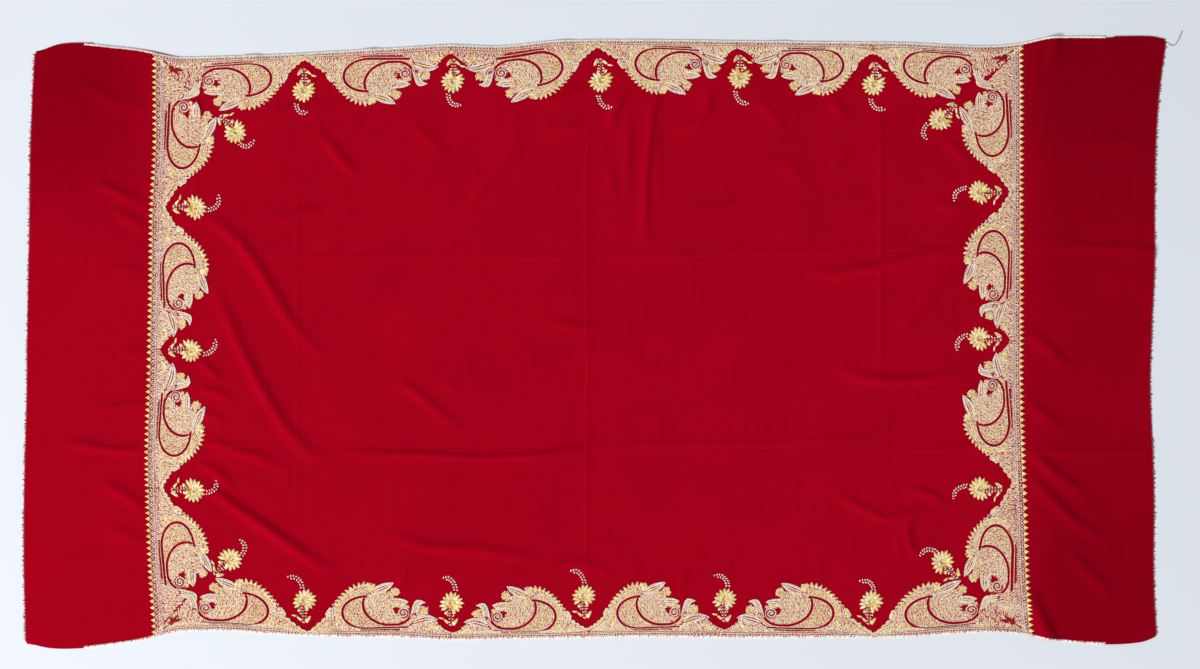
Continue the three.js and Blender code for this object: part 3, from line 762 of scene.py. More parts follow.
@dataclass
class Stitches:
    """Many stitches as equally long arrays, in one drawing's coordinates, in millimetres."""

    seed: int = 1
    rows: list = field(default_factory=list)
    # how far a loose stitch strays aside, in its widths, and turns, in radians
    stray: float = 0.6
    turn: float = 0.6
    # how uneven a loose stitch's length, width and height are, and how low all stitches are pressed
    uneven: tuple[float, float, float] = (0.3, 0.2, 0.3)
    pressed: tuple[float, float, float] = (1.0, 1.0, 0.72)
    # what share of a petal's width its threads' middles span, and how far the threads overlap
    span: float = 0.78
    overlap: float = 1.6

    def __post_init__(self) -> None:
        """Starts the fixed run of random draws."""
        self.random = np.random.RandomState(self.seed)

    def add(
        self,
        at: Points,
        heading: np.ndarray | float,
        size: Size,
        tones: Tones,
        cut: Cut = Cut.SEED,
        above: float = 0.7,
        loose: float = 0.0,
    ) -> None:
        """Adds one run of stitches.

        Args:
            at: Their middles.
            heading: Their directions, in radians.
            size: Length, width and height.
            tones: One colour, or a share for each colour.
            cut: Their form.
            above: How far they sit above the cloth.
            loose: How uneven they are, from 0 to 1.
        """
        count = len(at)
        if not count:
            return
        shares = {tones: 1.0} if isinstance(tones, Tone) else tones
        palette = np.array([tone.value for tone in shares])
        weight = np.array(list(shares.values()), float)
        pick = self.random.choice(len(palette), count, p=weight / weight.sum())
        wander = self.random.uniform(-1, 1, (count, 6)) * loose
        row = np.zeros((count, 11))
        row[:, 0:2] = at + wander[:, 0:2] * size[1] * self.stray
        row[:, 2] = heading + wander[:, 2] * self.turn
        row[:, 3:6] = np.array(size) * np.array(self.pressed) * (1 + wander[:, 3:6] * np.array(self.uneven))
        row[:, 6:9] = palette[pick]
        row[:, 9] = cut.value
        row[:, 10] = above
        self.rows.append(row)

    def fill(
        self,
        region: Points,
        flow: Callable[[Points], np.ndarray],
        size: Size,
        tones: Tones,
        spacing: tuple[float, float],
        avoid: Sequence[Points] = (),
        above: float = 0.7,
        loose: float = 0.5,
    ) -> None:
        """Fills a region with short stitches in bricked rows.

        Args:
            region: The closed outline.
            flow: Gives the heading at each point.
            size: Length, width and height of a stitch.
            tones: One colour, or a share for each colour.
            spacing: How far apart the stitches are along a row, and the rows.
            avoid: Outlines that stay free.
            above: How far the stitches sit above the cloth.
            loose: How uneven they are.
        """
        at = bricked(region, *spacing)
        at += self.random.uniform(-0.5, 0.5, at.shape) * np.array(spacing) * loose
        at = at[within(region, avoid, at)]
        self.add(at, flow(at), size, tones, above=above, loose=loose)

    def flower(self, at: Points, radius: float, petals: int = 5, middle: Tone = Tone.RUST) -> None:
        """Adds small gold flowers of short straight stitches at some points."""
        start = self.random.uniform(0, 2 * math.pi, len(at))
        for k in range(petals):
            angle = start + 2 * math.pi * k / petals
            out = at + toward(angle) * radius * 0.55
            size = (radius * 1.15, radius * 0.78, 0.75)
            self.add(out, angle, size, {Tone.GOLD: 0.65, Tone.PALE_GOLD: 0.35}, above=0.95, loose=0.15)
        self.add(at, start, (radius * 0.5, radius * 0.5, 0.7), middle, above=1.2)

    def chain(self, route: Points, size: Size, tones: Tones, above: float = 0.8) -> None:
        """Adds a row of touching stitches along a route.

        Args:
            route: The row's line.
            size: Length, width and height of a stitch.
            tones: One colour, or a share for each colour.
            above: How far the stitches sit above the cloth.
        """
        at, heading = evenly(route, size[0] * 0.8)
        self.add(at, heading, size, tones, above=above, loose=0.12)

    def satin(
        self,
        base: tuple,
        tip: tuple,
        width: float,
        tones: Tones,
        threads: int,
        bow: float = 0.0,
        point: float = 0.3,
        above: float = 0.75,
        low: float = 0.3,
    ) -> None:
        """Adds one petal or leaf of threads laid side by side.

        Args:
            base: Where the petal starts.
            tip: Where it ends.
            width: Its greatest width.
            tones: One colour, or a share for each colour.
            threads: How many threads lie side by side.
            bow: How far its middle is bent aside.
            point: How much its outer threads are shortened.
            above: How far it sits above the cloth.
            low: How far its shorter threads keep to the base.
        """
        base, tip = np.array(base, float), np.array(tip, float)
        run = tip - base
        length = float(np.hypot(*run))
        ahead, aside = run / length, np.array([-run[1], run[0]]) / length
        share = (np.arange(threads) + 0.5) / threads * 2 - 1
        reach = 1 - point * np.abs(share) ** 1.6
        middle = base + run * (0.5 - low * (1 - reach))[:, None]
        middle = middle + aside * (share * width / 2 * self.span + bow)[:, None]
        lean = np.arctan2(ahead[1], ahead[0]) - share * width / length * point
        for i in range(threads):
            size = (length * reach[i], width / threads * self.overlap, 0.55 + 0.25 * reach[i])
            self.add(middle[i : i + 1], lean[i], size, tones, cut=Cut.SATIN, above=above, loose=0.05)

    def array(self) -> np.ndarray:
        """Gives all the stitches as one array."""
        return np.concatenate(self.rows)


class StitchTree:
    """The Geometry Nodes tree that turns seeds into stitches on their backing."""

    def __init__(self, finish: bpy.types.Material) -> None:
        """Builds the tree with its named inputs."""
        self.finish = finish
        self.tree = bpy.data.node_groups.new("stitch_work", "GeometryNodeTree")
        face = self.tree.interface
        face.new_socket("Backing", in_out="INPUT", socket_type="NodeSocketGeometry")
        self.ids = {
            label: face.new_socket(label, in_out="INPUT", socket_type=kind).identifier
            for label, kind in (
                ("Seeds", "NodeSocketObject"),
                ("Relief", "NodeSocketFloat"),
                ("Dullest", "NodeSocketFloat"),
                ("Brightest", "NodeSocketFloat"),
                ("Seed", "NodeSocketInt"),
                ("Thread", "NodeSocketMaterial"),
            )
        }
        face.new_socket("Needlework", in_out="OUTPUT", socket_type="NodeSocketGeometry")
        self._wire()

    def _node(self, kind: str, **settings: object) -> bpy.types.Node:
        """Adds one node with its settings."""
        node = self.tree.nodes.new(kind)
        for key, value in settings.items():
            setattr(node, key, value)
        return node

    def _named(self, name: str, kind: str) -> bpy.types.NodeSocket:
        """Reads a named attribute."""
        node = self._node("GeometryNodeInputNamedAttribute", data_type=kind)
        node.inputs["Name"].default_value = name
        return next(socket for socket in node.outputs if socket.enabled and socket.name == "Attribute")

    def _wire(self) -> None:
        """Links seeds, stitch forms, backing and finish."""
        link = self.tree.links.new
        given = self._node("NodeGroupInput")
        seeds = self._node("GeometryNodeObjectInfo", transform_space="ORIGINAL")
        link(given.outputs["Seeds"], seeds.inputs["Object"])
        shade = self._node("FunctionNodeRandomValue", data_type="FLOAT")
        for key, label in (("Min", "Dullest"), ("Max", "Brightest")):
            link(given.outputs[label], next(s for s in shade.inputs if s.name == key and s.enabled))
        link(given.outputs["Seed"], shade.inputs["Seed"])
        store = self._node("GeometryNodeStoreNamedAttribute", data_type="FLOAT", domain="POINT")
        store.inputs["Name"].default_value = "shade"
        link(seeds.outputs["Geometry"], store.inputs["Geometry"])
        value = next(s for s in store.inputs if s.name == "Value" and s.enabled)
        link(next(s for s in shade.outputs if s.enabled), value)
        turn = self._node("FunctionNodeEulerToRotation")
        link(self._named("turn", "FLOAT_VECTOR"), turn.inputs[0])
        relief = self._node("ShaderNodeCombineXYZ")
        relief.inputs[0].default_value = relief.inputs[1].default_value = 1.0
        link(given.outputs["Relief"], relief.inputs[2])
        scale = self._node("ShaderNodeVectorMath", operation="MULTIPLY")
        link(self._named("size", "FLOAT_VECTOR"), scale.inputs[0])
        link(relief.outputs[0], scale.inputs[1])
        join = self._node("GeometryNodeJoinGeometry")
        link(given.outputs["Backing"], join.inputs[0])
        for cut, form in ((Cut.SEED, self._seed_form()), (Cut.SATIN, self._satin_form())):
            same = self._node("FunctionNodeCompare", data_type="INT", operation="EQUAL")
            numbers = [s for s in same.inputs if s.enabled]
            link(self._named("cut", "INT"), numbers[0])
            numbers[1].default_value = cut.value
            put = self._node("GeometryNodeInstanceOnPoints")
            link(store.outputs["Geometry"], put.inputs["Points"])
            link(same.outputs[0], put.inputs["Selection"])
            link(form, put.inputs["Instance"])
            link(turn.outputs[0], put.inputs["Rotation"])
            link(scale.outputs[0], put.inputs["Scale"])
            link(put.outputs["Instances"], join.inputs[0])
        real = self._node("GeometryNodeRealizeInstances")
        link(join.outputs[0], real.inputs[0])
        dress = self._node("GeometryNodeSetMaterial")
        link(real.outputs[0], dress.inputs["Geometry"])
        link(given.outputs["Thread"], dress.inputs["Material"])
        link(dress.outputs[0], self._node("NodeGroupOutput").inputs[0])

    def _seed_form(self) -> bpy.types.NodeSocket:
        """Makes a short stitch: a low closed peak on a diamond."""
        cone = self._node("GeometryNodeMeshCone")
        for key, number in (("Vertices", 4), ("Radius Top", 0.0), ("Radius Bottom", 1.0), ("Depth", 1.0)):
            cone.inputs[key].default_value = number
        return cone.outputs["Mesh"]

    def _satin_form(self) -> bpy.types.NodeSocket:
        """Makes a long stitch: a rounded spindle."""
        ball = self._node("GeometryNodeMeshIcoSphere")
        ball.inputs["Radius"].default_value = 1.0
        ball.inputs["Subdivisions"].default_value = 1
        return ball.outputs["Mesh"]

    def sew(self, name: str, backing: bpy.types.Mesh, seeds: bpy.types.Mesh, seed: int) -> bpy.types.Object:
        """Makes one plain piece of needlework.

        Args:
            name: The piece's name.
            backing: The mesh that the stitches lie on.
            seeds: A mesh of points with the stitches' attributes.
            seed: The number that fixes the random draws.

        Returns:
            The finished object.
        """
        points, cloth = linked(f"{name}_seeds", seeds), linked(f"{name}_backing", backing)
        modifier = cloth.modifiers.new("stitch_work", "NODES")
        modifier.node_group = self.tree
        for label, value in (
            ("Seeds", points), ("Relief", 1.0), ("Dullest", 0.8), ("Brightest", 1.12), ("Seed", seed),
            ("Thread", self.finish),
        ):
            modifier[self.ids[label]] = value
        graph = bpy.context.evaluated_depsgraph_get()
        mesh = bpy.data.meshes.new_from_object(cloth.evaluated_get(graph))
        mesh.name = name
        for item in (points, cloth):
            bpy.data.objects.remove(item)
        mesh.materials.clear()
        mesh.materials.append(self.finish)
        mesh.polygons.foreach_set("material_index", np.zeros(len(mesh.polygons), np.int32))
        smoothed(mesh, SHARP_STITCH)
        return linked(name, mesh)


# ------------------------------------------------------------------------------------------- meshes
@dataclass
class Workshop:
    """What every sub-assembly needs: the plan, the laid cloth and the way to make meshes in the frame."""

    plan: ShawlPlan
    cloth: LaidCloth
    shift: Points
    tree: StitchTree

    def metres(self, at: Points, z: np.ndarray) -> Points:
        """Gives the frame's metres for plan points and heights."""
        return np.column_stack([at + self.shift, z]) * MM

    def mesh(self, name: str, vertices: Points, faces: list, tone: Tone | None = None) -> bpy.types.Mesh:
        """Makes a mesh, with a thread colour where one is given."""
        mesh = bpy.data.meshes.new(name)
        mesh.from_pydata(vertices.tolist(), [], faces)
        if tone is not None:
            count = len(vertices)
            colour = np.tile(np.array(tone.value + (1.0,)), (count, 1))
            mesh.attributes.new("tone", "FLOAT_COLOR", "POINT").data.foreach_set("color", colour.ravel())
            mesh.attributes.new("shade", "FLOAT", "POINT").data.foreach_set("value", np.ones(count))
        mesh.update()
        return mesh

    def hand_over(self, piece: bpy.types.Object, node: str, slot: str) -> bpy.types.Object:
        """Lets a piece ride on the shawl and stand for its node."""
        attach(piece, BODY)
        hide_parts(node)
        return piece

    def embroider(
        self,
        name: str,
        node: str,
        slot: str,
        backing: bpy.types.Mesh,
        stitches: Stitches,
        place: Callable[[Points], Points],
        seed: int,
    ) -> bpy.types.Object:
        """Sews stitches onto a backing and hands the piece over.

        Args:
            name: The piece's name.
            node: The node that it stands for.
            slot: Its slot; not used.
            backing: The mesh that the stitches lie on.
            stitches: The stitches, in their drawing's coordinates.
            place: Maps the drawing to the plan.
            seed: The number that fixes the random draws.

        Returns:
            The finished piece.
        """
        seeds = self.seeds(name, stitches, place)
        return self.hand_over(self.tree.sew(name, backing, seeds, seed), node, slot)

    def plate(
        self,
        name: str,
        outline: Points,
        holes: Sequence[Points],
        bottom: float,
        top: float,
        tone: Tone,
        spacing: float = 7.0,
    ) -> bpy.types.Mesh:
        """Makes a closed plate over a plan outline, bent to the cloth.

        Args:
            name: The mesh's name.
            outline: The closed outline in the plan.
            holes: Outlines that are left open.
            bottom: Height of its underside above the cloth.
            top: Height of its upper side above the cloth.
            tone: Its thread colour.
            spacing: How far apart its inner points are.

        Returns:
            The closed mesh.
        """
        loops = [wound(loop) for loop in (outline, *holes)]
        low, high = outline.min(0), outline.max(0)
        gx, gy = np.meshgrid(np.arange(low[0], high[0], spacing), np.arange(low[1], high[1], spacing))
        inner = np.column_stack([gx.ravel(), gy.ravel()])
        inner = inner[inside(outline, inner)]
        flat = np.concatenate(loops + [inner])
        rings, start = [], 0
        for loop in loops:
            rings.append(list(range(start, start + len(loop))))
            start += len(loop)
        out = delaunay_2d_cdt([Vector(p) for p in flat], [], rings, 0, 1e-4, True)
        at = np.array([tuple(p) for p in out[0]])
        triangles = np.array([face[:3] for face in out[2]])
        solid = within(outline, holes, at[triangles].mean(axis=1))
        count = len(at)
        height = self.cloth.top(at)
        vertices = self.metres(np.concatenate([at, at]), np.concatenate([height + bottom, height + top]))
        faces = []
        rim = set()
        for a, b, c in triangles[solid].tolist():
            edge_ab, edge_ac = at[b] - at[a], at[c] - at[a]
            if edge_ab[0] * edge_ac[1] - edge_ab[1] * edge_ac[0] < 0:
                b, c = c, b
            faces += [[a + count, b + count, c + count], [a, c, b]]
            rim |= {(a, b), (b, c), (c, a)}
        faces += [[a, b, b + count, a + count] for a, b in rim if (b, a) not in rim]
        return self.mesh(name, *self._used(vertices, faces), tone)

    @staticmethod
    def _used(vertices: Points, faces: list) -> tuple[Points, list]:
        """Drops the vertices that no face uses."""
        used = np.unique(np.array([v for face in faces for v in face]))
        where = np.zeros(len(vertices), int)
        where[used] = np.arange(len(used))
        return vertices[used], [[int(where[v]) for v in face] for face in faces]

    def bar(
        self, name: str, inner: Points, outer: Points, bottom: float, height: float, tone: Tone
    ) -> bpy.types.Mesh:
        """Makes a closed bar between two routes, level with the lifted cloth.

        Args:
            name: The mesh's name.
            inner: The route of its inner edge.
            outer: The route of its outer edge.
            bottom: Height of its underside above the cloth's underside.
            height: Its own height.
            tone: Its thread colour.

        Returns:
            The closed mesh.
        """
        count, top = len(inner), bottom + height
        rows = []
        for route, level in ((inner, bottom), (outer, bottom), (outer, top), (inner, top)):
            rows.append(self.metres(route, self.cloth.lift(route) + level))
        vertices = np.concatenate(rows)
        ahead = inner[1] - inner[0]
        side = outer[0] - inner[0]
        flip = ahead[0] * side[1] - ahead[1] * side[0] > 0
        faces = []
        for i in range(count - 1):
            for k in range(4):
                a, b = k * count + i, (k + 1) % 4 * count + i
                faces.append([a, b, b + 1, a + 1])
        faces += [[3 * count, 2 * count, count, 0], [count - 1, 2 * count - 1, 3 * count - 1, 4 * count - 1]]
        if not flip:
            faces = [face[::-1] for face in faces]
        return self.mesh(name, vertices, faces, tone)

    def seeds(self, name: str, stitches: Stitches, place: Callable[[Points], Points]) -> bpy.types.Mesh:
        """Lays stitches on the cloth.

        Args:
            name: The mesh's name.
            stitches: The stitches, in their drawing's coordinates.
            place: Maps the drawing to the plan.

        Returns:
            A mesh of points with the attributes that the stitch tree reads.
        """
        row = stitches.array()
        step = 0.5
        at, tip = place(row[:, :2]), place(row[:, :2] + toward(row[:, 2]) * step)
        run = tip - at
        run /= np.maximum(np.hypot(run[:, 0], run[:, 1]), 1e-9)[:, None]
        rise_x, rise_y = self.cloth.slope(at)
        ones = np.ones(len(at))
        up = np.column_stack([-rise_x, -rise_y, ones])
        up /= np.linalg.norm(up, axis=1)[:, None]
        axis = np.column_stack([run, run[:, 0] * rise_x + run[:, 1] * rise_y])
        axis /= np.linalg.norm(axis, axis=1)[:, None]
        side = np.cross(up, axis)
        turn = np.column_stack([
            np.arctan2(side[:, 2], up[:, 2]),
            np.arcsin(np.clip(-axis[:, 2], -1, 1)),
            np.arctan2(axis[:, 1], axis[:, 0]),
        ])
        mesh = bpy.data.meshes.new(f"{name}_seeds")
        mesh.vertices.add(len(at))
        spot = self.metres(at, self.cloth.top(at) + row[:, 10])
        mesh.vertices.foreach_set("co", spot.ravel())
        # the forms reach 1 to each side of their middle
        size = row[:, 3:6] * np.array([0.5, 0.5, 1.0]) * MM
        colour = np.column_stack([row[:, 6:9], ones])
        for label, kind, key, value in (
            ("turn", "FLOAT_VECTOR", "vector", turn), ("size", "FLOAT_VECTOR", "vector", size),
            ("tone", "FLOAT_COLOR", "color", colour), ("cut", "INT", "value", row[:, 9].astype(np.int32)),
        ):
            mesh.attributes.new(label, kind, "POINT").data.foreach_set(key, value.ravel())
        mesh.update()
        return mesh


# ------------------------------------------------------------------------------------------- the cloth
@dataclass
class WoolLength:
    """The woven cloth: a fine right side, a plainer underside and closed edges."""

    shop: Workshop
    columns: int = 380
    rows: int = 196
    coarse: int = 4

    def build(self) -> bpy.types.Object:
        """Builds the cloth as one closed shell."""
        top = self._grid(self.columns, self.rows, CLOTH_WALL)
        under = self._grid(self.columns // self.coarse, self.rows // self.coarse, 0.0)
        faces = self._faces(self.columns, self.rows, 0, False)
        start = len(top)
        faces += self._faces(self.columns // self.coarse, self.rows // self.coarse, start, True)
        faces += self._rim(start)
        mesh = self.shop.mesh("shawl_cloth", np.concatenate([top, under]), faces)
        smoothed(mesh, SHARP_CLOTH)
        mesh.materials.append(WoolFinish().material())
        return self.shop.hand_over(linked("shawl_cloth", mesh), "cloth", "wool")

    def _grid(self, columns: int, rows: int, above: float) -> Points:
        """Gives one side's vertices, row by row."""
        u, v = np.meshgrid(np.linspace(0, 1, columns + 1), np.linspace(0, 1, rows + 1))
        at = self.shop.plan.sheet(u.ravel(), v.ravel())
        return self.shop.metres(at, self.shop.cloth.lift(at) + above)

    @staticmethod
    def _faces(columns: int, rows: int, start: int, down: bool) -> list:
        """Gives one side's quads."""
        wide = columns + 1
        i, j = np.meshgrid(np.arange(columns), np.arange(rows))
        a = (start + j * wide + i).ravel()
        quads = np.column_stack([a, a + 1, a + wide + 1, a + wide])
        return (quads[:, ::-1] if down else quads).tolist()

    def _rim(self, start: int) -> list:
        """Closes the edge between the fine and the plain side."""
        fine, plain = self.columns + 1, self.columns // self.coarse + 1
        tall, low = self.rows, self.rows // self.coarse
        k = self.coarse

        def around(wide: int, last: int, first: int) -> list[list[int]]:
            """Gives the vertices of a grid's four sides, one after the other."""
            near, left = [first + i for i in range(wide)], [first + j * wide for j in range(last + 1)]
            far, right = [last * wide + i for i in near], [wide - 1 + i for i in left]
            return [near, right, far[::-1], left[::-1]]

        runs = zip(around(fine, tall, 0), around(plain, low, start))
        faces = []
        for upper, lower in runs:
            for n in range(len(lower) - 1):
                a, b = lower[n], lower[n + 1]
                t = upper[n * k : n * k + k + 1]
                half = k // 2
                faces += [[a, t[m + 1], t[m]] for m in range(half)]
                faces += [[b, t[m + 1], t[m]] for m in range(half, k)]
                faces.append([a, b, t[half]])
        return faces


# ------------------------------------------------------------------------------------------- paisley border
@dataclass
class Paisley:
    """The drawing of one paisley cell: s along the border from its back to its scroll, t inward."""

    corner: bool
    is_end: bool
    full: float
    squeeze: float
    seed: int
    notch: float = 11.5
    line: float = 4.5
    corner_reach: float = 71.0
    trim: float = 13.0
    bud_pitch: float = 10.6
    flowers_from: float = 9.0
    end_depth: float = 0.9
    curl: tuple[float, float] = (178.5, 47.5)
    # how wide the strip along a bare line is that the fillings leave free, and how far off its stitches lie
    strip: float = 7.3
    off: float = 3.15
    # where a leaf's tip is among its points
    tip: int = 10
    # each leaf's way out and way back, as control points: long, short, neck and upper leaf
    leaf_curves: tuple = (
        (((121, 85), (135, 80), (152, 90), (160, 105.5)), ((160, 105.5), (146, 106), (131, 101), (121, 91))),
        (((160, 64), (170, 60), (180, 63), (187, 69.5)), ((187, 69.5), (178, 75), (168, 76), (158, 74))),
        (((191, 40), (198, 64), (196, 82), (218, 70.5)), ((218, 70.5), (208, 69), (205, 61), (203, 46))),
        (((188, 22), (205, 22), (220, 32), (239, 39)), ((239, 39), (224, 51), (210, 47), (196, 33))),
    )

    def __post_init__(self) -> None:
        """Draws the curves that the outline, the lines and the stitches share."""
        self.flank = np.array([[0.0, self.notch], [37.0, 37.5]])
        self.back = bezier((39, 41), (55, 61), (76, 108), (118, 102.5), 48)[10:]
        self.loop = np.concatenate([[[187, 19.8]], arc(111.3, 47, 44, 31.6, 272, 88, 28)])
        self.arch = np.concatenate([
            arc(155, 64, 50, 40.5, 163, 262, 16), arc(158, 48, 34, 24.5, 285, 385, 16),
        ])
        self.long_leaf, self.short_leaf, self.neck_leaf, self.upper_leaf = (
            np.concatenate([bezier(*out), bezier(*back)]) for out, back in self.leaf_curves
        )
        self.body = np.concatenate([
            self.arch, [[184, 60], [171, 62], [160, 76], [153, 88], [126, 89], [112, 82]],
        ])
        self.crescent = np.concatenate([self.loop[1:], self.arch[1:17], [[180, 25]]])
        self.second = refined(np.array([[100, 11.4], [112, 10.4], [140, 12.2], [178, 14.3]], float), 5.0)[:17]
        self.stitches = Stitches(self.seed)

    @property
    def rim(self) -> float:
        """How far in the ground starts."""
        return 0.4 if self.is_end else 0.6

    @property
    def depth(self) -> float:
        """How deep a millimetre of the drawing is on the cloth."""
        return self.end_depth if self.is_end else 1.0

    @property
    def leaves(self) -> list[Points]:
        """The cell's leaves; a corner cell has no upper leaf."""
        return [self.long_leaf, self.short_leaf, self.neck_leaf] + ([] if self.corner else [self.upper_leaf])

    def bumps(self, route: Points, count: int, height: float) -> Points:
        """Gives a run of half-round scallops.

        Args:
            route: The line that they stand on.
            count: How many scallops there are.
            height: How far they stand out.

        Returns:
            The scallops' outline.
        """
        at, heading = evenly(route, 1e-3 + self._run(route) / (count * 6), 0.0)
        phase = np.arange(len(at)) % 6 / 6 * math.pi
        return at + leftward(heading) * (np.sin(phase)[:, None] * height)

    @staticmethod
    def _run(route: Points) -> float:
        """Gives a route's length."""
        leg = np.diff(route, axis=0)
        return float(np.hypot(leg[:, 0], leg[:, 1]).sum())

    def outline(self) -> Points:
        """Gives the closed outline of the cell's ground."""
        margin = GAP / 2
        rows = [
            [[margin, self.rim], [margin, self.notch]],
            self.bumps(self.flank, 4, 3.4)[1:],
            [[37, 39], [35.5, 45], [41.5, 54.5], [46, 55.5]],
            beside(self.back[2:], -1.4),
            [[114, 103], [119, 106], [125, 101.5], [124.5, 93]],
            self.long_leaf[11:-1][::-1],
            self.long_leaf[2:11][::-1],
            [[157, 90], [159, 96], [164.5, 97], [169.5, 93], [171, 87], [167, 82], [162, 79]],
            self.short_leaf[12:-1][::-1],
            self.short_leaf[2:11][::-1],
            [[166, 61.5], [172, 60.5], [177, 64.5], [183, 64], [186, 60], [189, 57]],
        ]
        if self.corner:
            reach_s = self.full - self.corner_reach / self.squeeze
            reach_t = (self.corner_reach - self.trim) / self.end_depth if self.is_end else self.corner_reach
            rows.append(self.neck_leaf[12:16][::-1])
            mitre = reach_s + (reach_t - self.rim) / self.squeeze * self.depth
            rows.append([[reach_s, reach_t], [mitre, self.rim]])
        else:
            rows += [
                self.neck_leaf[12:-1][::-1],
                self.neck_leaf[4:11][::-1],
                [[211, 62], [216, 63.5], [222, 61], [225, 56], [223, 50.5], [219, 47]],
                self.upper_leaf[12:17][::-1],
                self.upper_leaf[8:11][::-1],
                [[236, 35], [239.5, 33], [240, 29], [244.5, 27], [245, 23]],
                [[250, 20.5], [250.5, 16.5], [256, 14]],
                [[self.full - margin, self.notch], [self.full - margin, self.rim]],
            ]
        return np.concatenate([np.array(row, float) for row in rows])

    def gaps(self) -> list[Points]:
        """Gives the bare lines and gaps in the ground."""
        holes = [stroke(self.loop, self.line * 0.9, self.line), stroke(self.arch[:-2], self.line, self.line)]
        holes.append(stroke(self.second, 2.6, 3.2))
        holes.append(np.array([[159.5, 46.5], [168.5, 46.0], [166.0, 53.0]], float))
        holes.append(np.array([[157.5, 54.5], [163, 50.5], [168.5, 50.5], [173, 58], [166, 60]], float))
        return holes

    def around(self, cs: float, ct: float) -> Callable[[Points], np.ndarray]:
        """Gives a flow that turns round a middle."""
        return lambda at: np.arctan2(at[:, 0] - cs, -(at[:, 1] - ct))

    def draw(self) -> Stitches:
        """Draws every stitch of the cell."""
        self._ground()
        self._bodies()
        self._leaves()
        self._back()
        self._lines()
        self._band()
        self._clusters()
        return self.stitches

    def _ground(self) -> None:
        """Fills the ground between the edge band and the paisley."""
        ground, wide = self.outline(), self.strip
        lines = [stroke(self.loop, wide, wide), stroke(self.arch, wide, wide), stroke(self.second, 5.2, 5.8)]
        avoid = self.gaps() + lines + [self.body, self.crescent, rectangle(-5, -5, 300, 9.6), *self.leaves]
        tones = {Tone.CREAM: 0.36, Tone.IVORY: 0.30, Tone.LILAC_WHITE: 0.20}
        tones |= {Tone.PALE_GOLD: 0.06, Tone.ROSE: 0.08}
        self.stitches.fill(ground, self.around(120, 48), (4.7, 2.1, 0.75), tones, (4.15, 1.8), avoid)
        clear = [stroke(self.loop, wide + 2, wide + 2), stroke(self.second, 8.0, 8.4)]
        self.stitches.flower(self._scatter(ground, 10.5, avoid + clear, 4.0), 2.9)

    def _scatter(self, region: Points, pitch: float, avoid: Sequence[Points], loose: float) -> Points:
        """Gives uneven points in a region, about a pitch apart."""
        at = bricked(region, pitch, pitch * 0.87, self.flowers_from - 1)
        at += self.stitches.random.uniform(-0.5, 0.5, at.shape) * loose
        return at[within(region, avoid, at) & (at[:, 1] > self.flowers_from)]

    def _bodies(self) -> None:
        """Fills the scrolled body and the crescent behind it."""
        wide, scroll = self.strip, arc(*self.curl, 10.8, 10.4, 0, 360, 24)
        lines = [stroke(self.loop, wide, wide), stroke(self.arch, wide, wide), scroll, *self.gaps()[3:]]
        scrolled = {Tone.CREAM: 0.24, Tone.LILAC_WHITE: 0.30, Tone.IVORY: 0.34}
        scrolled |= {Tone.ROSE: 0.08, Tone.RUST: 0.04}
        behind = {Tone.CREAM: 0.42, Tone.PALE_GOLD: 0.12, Tone.IVORY: 0.28}
        behind |= {Tone.ROSE: 0.10, Tone.RUST: 0.08}
        # region, middle of its rows, stitch, spacing, colours; pitch, unevenness and radius of its flowers
        for region, middle, size, spacing, tones, pitch, loose, radius in (
            (self.body, (165, 55), (4.0, 1.8, 0.8), (3.5, 1.5), scrolled, 8.0, 2.2, 2.9),
            (self.crescent, (140, 60), (3.7, 1.7, 0.8), (3.3, 1.5), behind, 7.0, 1.6, 2.4),
        ):
            self.stitches.fill(region, self.around(*middle), size, tones, spacing, lines, 0.75, 0.6)
            self.stitches.flower(self._scatter(region, pitch, lines, loose), radius)

    def _leaves(self) -> None:
        """Fills the leaves with lengthwise rows and outlines them."""
        pale, midrib = {Tone.IVORY: 0.8, Tone.CREAM: 0.2}, {Tone.PALE_GOLD: 0.6, Tone.IVORY: 0.4}
        for leaf in self.leaves:
            edge = {Tone.LILAC_WHITE: 0.35, Tone.WHITE: 0.65}
            if self.corner and leaf is self.neck_leaf:
                edge = {Tone.CREAM: 0.5, Tone.IVORY: 0.5}
            self.stitches.chain(leaf, (3.0, 2.0, 0.9), edge, 1.0)
            first, second = leaf[1 : self.tip], leaf[self.tip + 1 : -1][::-1]
            count = min(len(first), len(second))
            for share, tones in ((0.18, pale), (0.50, midrib), (0.82, pale)):
                row = first[:count] * (1 - share) + second[:count] * share
                self.stitches.chain(row, (3.6, 3.4, 0.8), tones, 0.85)
            for share in (0.34, 0.66):
                vein = first[:count] * (1 - share) + second[:count] * share
                self.stitches.chain(vein, (3.2, 0.8, 0.7), {Tone.RUST: 0.7, Tone.ROSE: 0.3}, 1.2)

